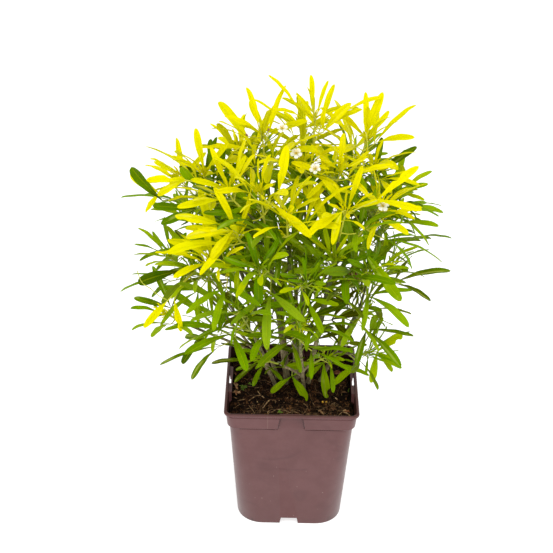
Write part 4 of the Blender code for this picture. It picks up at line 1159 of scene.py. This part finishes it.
STRAWS = (  # where each straw lies (mm), its half thickness (mm) and how pale it is
    (((-45, -27), (-38, -19), (-32, -14)), 0.55, 0.45), (((-36, -6), (-33, -12), (-29, -19)), 0.65, 0.90),
    (((-57, -26), (-49, -25)), 0.60, 0.35), (((-45, -34), (-41, -43), (-38, -50)), 0.28, 0.70),
    (((-30, -41), (-26, -31), (-22, -25), (-16, -26)), 0.60, 0.80),
    (((-21, -48), (-14, -41), (-2, -44)), 0.50, 0.45), (((13, -29), (17, -36)), 0.60, 0.50),
    (((45, -12), (49, -22)), 0.75, 0.95), (((52, -44), (58, -47), (62, -52)), 0.60, 0.85),
    (((48, -52), (55, -43)), 0.35, 0.60), (((7, 28), (12, 26), (11, 20)), 0.50, 0.35),
    (((-8, -50), (3, -47), (12, -51)), 0.30, 0.55),
)
FLAKES = (  # foot, tip and width of each scrap (mm), its kind (0 bark, 1 dry leaf) and how pale it is
    ((-62, 9), (-57, -4), 5.0, 1, 0.85), ((-64, -11), (-54, -13), 4.5, 1, 0.70),
    ((-60, -8), (-58, -19), 3.5, 1, 0.80), ((26, -40), (34, -50), 3.2, 0, 0.85),
    ((46, 31), (56, 26), 6.0, 1, 0.05), ((50, 24), (58, 20), 5.0, 1, 0.15),
    ((-6, -8), (-4, -14), 3.0, 0, 0.15), ((24, -26), (30, -27), 3.5, 0, 0.10),
    ((52, -8), (60, -9), 3.0, 0, 0.20), ((54, -42), (61, -44), 4.0, 1, 0.60),
    ((40, -30), (46, -41), 6.0, 0, 0.12), ((-63, 26), (-60, 22), 3.0, 1, 0.05),
)
PELLETS = ((33, -25), (37, -25), (-30, 46), (-60, 16), (-28, 49), (22, 44), (-8, 40), (48, 12))  # mm
SPECKS = ((-36, -27), (-20, -24), (-17, -26), (-13, -24), (-8, -26), (-4, -20))  # mm
SEEDLINGS = (  # where each patch is and how far it reaches (mm), and how many plants it has
    (-50, -2, 3.5, 12), (-41, 8, 4.5, 13), (-12, -46, 3.0, 4), (-35, 17, 2.0, 3),
)
BLADE = (61, -6)  # mm
FIBRES, CHIPS, CRUMBS = 520, 260, 800
LITTER_EDGE = 61.0  # how far from the middle litter lies (mm)


def tapered(count, radius, end):
    """Radii that shrink to a share of their greatest towards both ends."""
    return [radius * (end + (1.0 - end) * math.sin(math.pi * (k + 1) / (count + 1))) for k in range(count)]


def add_fibres(rng):
    """Root fibres, closest together near the front wall, and straws."""
    build = Build()
    for i in range(FIBRES):
        spot = soil_spot(rng)
        if i % 3 == 0:
            spot.y = rng.uniform(-57, -34) * MM
        elif i % 11 == 0:
            spot = on_soil(rng.uniform(37, 47), rng.uniform(-42, -26))
        heading = rng.uniform(0, math.tau)
        length = rng.choice((rng.uniform(3, 9), rng.uniform(8, 20))) * MM
        curl = rng.uniform(-2.2, 2.2) / 9
        rise = rng.uniform(0.0, 1.6) * MM
        line = []
        for k in range(7):
            x, y = (min(max(value, -LITTER_EDGE * MM), LITTER_EDGE * MM) for value in spot.xy)
            line.append(soil_point(x, y, 0.2 * MM + rise * math.sin(math.pi * k / 6)))
            heading += curl + rng.uniform(-0.25, 0.25)
            spot += Vector((math.cos(heading), math.sin(heading), 0)) * (length / 6)
        if (line[0] - line[-1]).length < 1.5 * MM:
            continue
        tube(build, line, tapered(7, rng.uniform(0.09, 0.32), 0.4), 5, tone=rng.random() ** 4 * 0.95)
    for ends, thick, pale in STRAWS:
        spots = [on_soil(x, y, 0.9 + 0.5 * (k % 2)) for k, (x, y) in enumerate(ends)]
        line, _ = smooth(spots, [0.0] * len(spots), 5)
        tube(build, line, tapered(len(line), thick, 0.55), 6, tone=pale)
    build.piece("compost_fibres", (STRAW,), "soil")


def add_chips(rng):
    """Bark chips and scraps of dry leaf."""
    build = Build()
    for _ in range(CHIPS):
        size = rng.uniform(0.7, 2.4) * MM
        spot = soil_spot(rng, 59.0) + UP * (0.2 * MM)
        sizes = (size, size * rng.uniform(0.35, 0.8), size * 0.28)
        pebble(build, spot, sizes, rng, tone=rng.random() ** 4 * 0.7)
    for foot, tip, width, kind, pale in FLAKES:
        a, b = on_soil(*foot, 0.6), on_soil(*tip, 1.2)
        up = UP + UP.cross(b - a).normalized() * rng.uniform(-0.5, 0.5)
        leaflet(build, a, a.lerp(b, MID) + UP * (1.2 * MM), b, up, width * MM, rng, tone=pale, chance=0.0,
                slot=kind, bite=0.9, fold=0.5, widest=0.5, slim_foot=0.4, blunt=1.4, groove=0.1 * MM,
                rows=12, columns=FEW_ACROSS)
    build.piece("bark_chips", (CHIP, DRY), "soil")


def add_crumbs(rng):
    """Crumbs of compost."""
    build = Build()
    for _ in range(CRUMBS):
        size = rng.uniform(0.4, 1.7) * MM
        pebble(build, soil_spot(rng, LITTER_EDGE), (size, size * 0.85, size * 0.8), rng, rough=0.6)
    build.piece("compost_crumbs", (SOIL,), "soil")


def add_pellets(rng):
    """Round fertiliser pellets, and pale specks."""
    build = Build()
    for x, y in PELLETS:
        pebble(build, on_soil(x, y, 0.7), (1.3 * MM, 1.2 * MM, 1.2 * MM), rng, rough=0.1)
    for x, y in SPECKS:
        pebble(build, on_soil(x, y, 0.4), (0.7 * MM, 0.6 * MM, 0.5 * MM), rng, rough=0.4, slot=1, tone=1.0)
    build.piece("feed_pellets", (PELLET, STRAW), "soil")


def add_seedlings(rng):
    """Patches of three-leaved seedlings, and one blade by the wall."""
    build = Build()
    for x, y, reach, count in SEEDLINGS:
        for k in range(count):
            foot = on_soil(x + rng.uniform(-1, 1) * reach, y + rng.uniform(-1, 1) * reach)
            lean = Vector((rng.uniform(-1, 1), rng.uniform(-1, 1), rng.uniform(0.8, 2.0))).normalized()
            top = foot + lean * (rng.uniform(0.8, 3.0) * MM)
            tube(build, [foot, foot.lerp(top, 0.5), top], [0.16] * 3, 5)
            for turn in (0.0, 2.1, 4.2):
                out = Quaternion(UP, turn + k) @ Vector((1, 0, 0.25))
                size = rng.uniform(1.2, 2.4) * MM
                leaflet(build, top, top + out * (MID * size), top + out * size, UP, size * 0.75, rng,
                        tone=0.4, chance=0.0, bite=0.0, rows=8, columns=FEW_ACROSS)
    foot, tip = on_soil(*BLADE, 0.3), on_soil(*BLADE, 6.0)
    leaflet(build, foot, foot.lerp(tip, MID), tip + Vector((MM, 0, 0)), (0.2, -1, 0), 1.8 * MM, rng,
            tone=0.4, chance=0.0, rows=8, columns=FEW_ACROSS)
    build.piece("seedlings", (SEEDLING,), "green_leaf")


# ---- scene -------------------------------------------------------------------------------------
CORE, BUSH = (0.098, 0.100, 0.150), (0.150, 0.132, 0.150)  # half widths of the rooms for inner leaves
dress_pot()
dress_soil()
litter_rng = random.Random(5)
for add_litter in (add_fibres, add_chips, add_crumbs, add_pellets, add_seedlings):
    add_litter(litter_rng)
space = Space()
woods = [dress_stem(node) for node in WOODY]
twigs = [dress_shoot(node, space) for node in GOLD + GREEN]
for node in FLOWERS:
    dress_flower(node)
add_inner_leaves("inner_leaves", woods, space, seed=11, wanted=90,
                 low=SOIL_Z + 45 * MM, high=0.40, radii=CORE, spun=False)
add_inner_leaves("upper_inner_leaves", twigs, space, seed=12, wanted=185,
                 low=0.32, high=0.43, radii=BUSH, spun=True)
branches = [spot for part in woods + twigs for spot, _ in part]
add_standout_leaves(branches)
add_small_growth(branches)


def floor():
    bm = bmesh.new()
    bmesh.ops.create_grid(bm, x_segments=2, y_segments=2, size=24.0)
    ground = solid("floor", bm)
    look = Look("floor_surface", Roughness=0.9, Specular_IOR_Level=0.1,
                Emission_Color=(1.0, 1.0, 1.0, 1.0), Emission_Strength=0.66)
    tint = look.mix(look.noise(3.0, 2.0).step(0.3, 0.7), (0.56, 0.56, 0.56), (0.58, 0.58, 0.58))
    look.put(look.shader.inputs["Base Color"], tint)
    ground.data.materials.append(look.material)


def lamp(name, place, power):
    """A round soft lamp that looks at the middle of the plant."""
    light = bpy.data.lights.new(name, "AREA")
    light.shape = "DISK"
    light.size = 1.1
    light.energy = power
    thing = stand(name, light)
    thing.location = place
    thing.rotation_euler = (Vector((0, 0, 0.20)) - Vector(place)).to_track_quat("-Z", "Y").to_euler()


def sky():
    """A broad, even light from above and in front."""
    light = bpy.data.lights.new("top", "SUN")
    light.angle = math.radians(60.0)
    light.energy = 2.1
    stand("top", light).rotation_euler = Vector((0.04, -0.55, 1.0)).to_track_quat("Z", "Y").to_euler()
    world = bpy.data.worlds.new("studio")
    world.use_nodes = True
    backdrop = world.node_tree.nodes["Background"].inputs
    backdrop["Color"].default_value = (1.0, 1.0, 1.0, 1.0)
    backdrop["Strength"].default_value = 0.52
    bpy.context.scene.world = world


def camera():
    lens = bpy.data.cameras.new("camera")
    lens.lens = 87.95
    lens.clip_start = 0.05
    view = stand("camera", lens)
    view.location = (-0.0183, -1.2098, 0.9492)
    view.rotation_euler = (math.radians(90.0 - 29.11), 0.0, 0.0)
    view.rotation_euler.rotate_axis("Z", math.radians(1.1))
    bpy.context.scene.camera = view


floor()
lamp("left", (-1.7, -1.3, 1.2), 15.0)
lamp("right", (1.8, -1.1, 1.1), 12.5)
sky()
camera()
bpy.context.scene.view_settings.view_transform = "Standard"
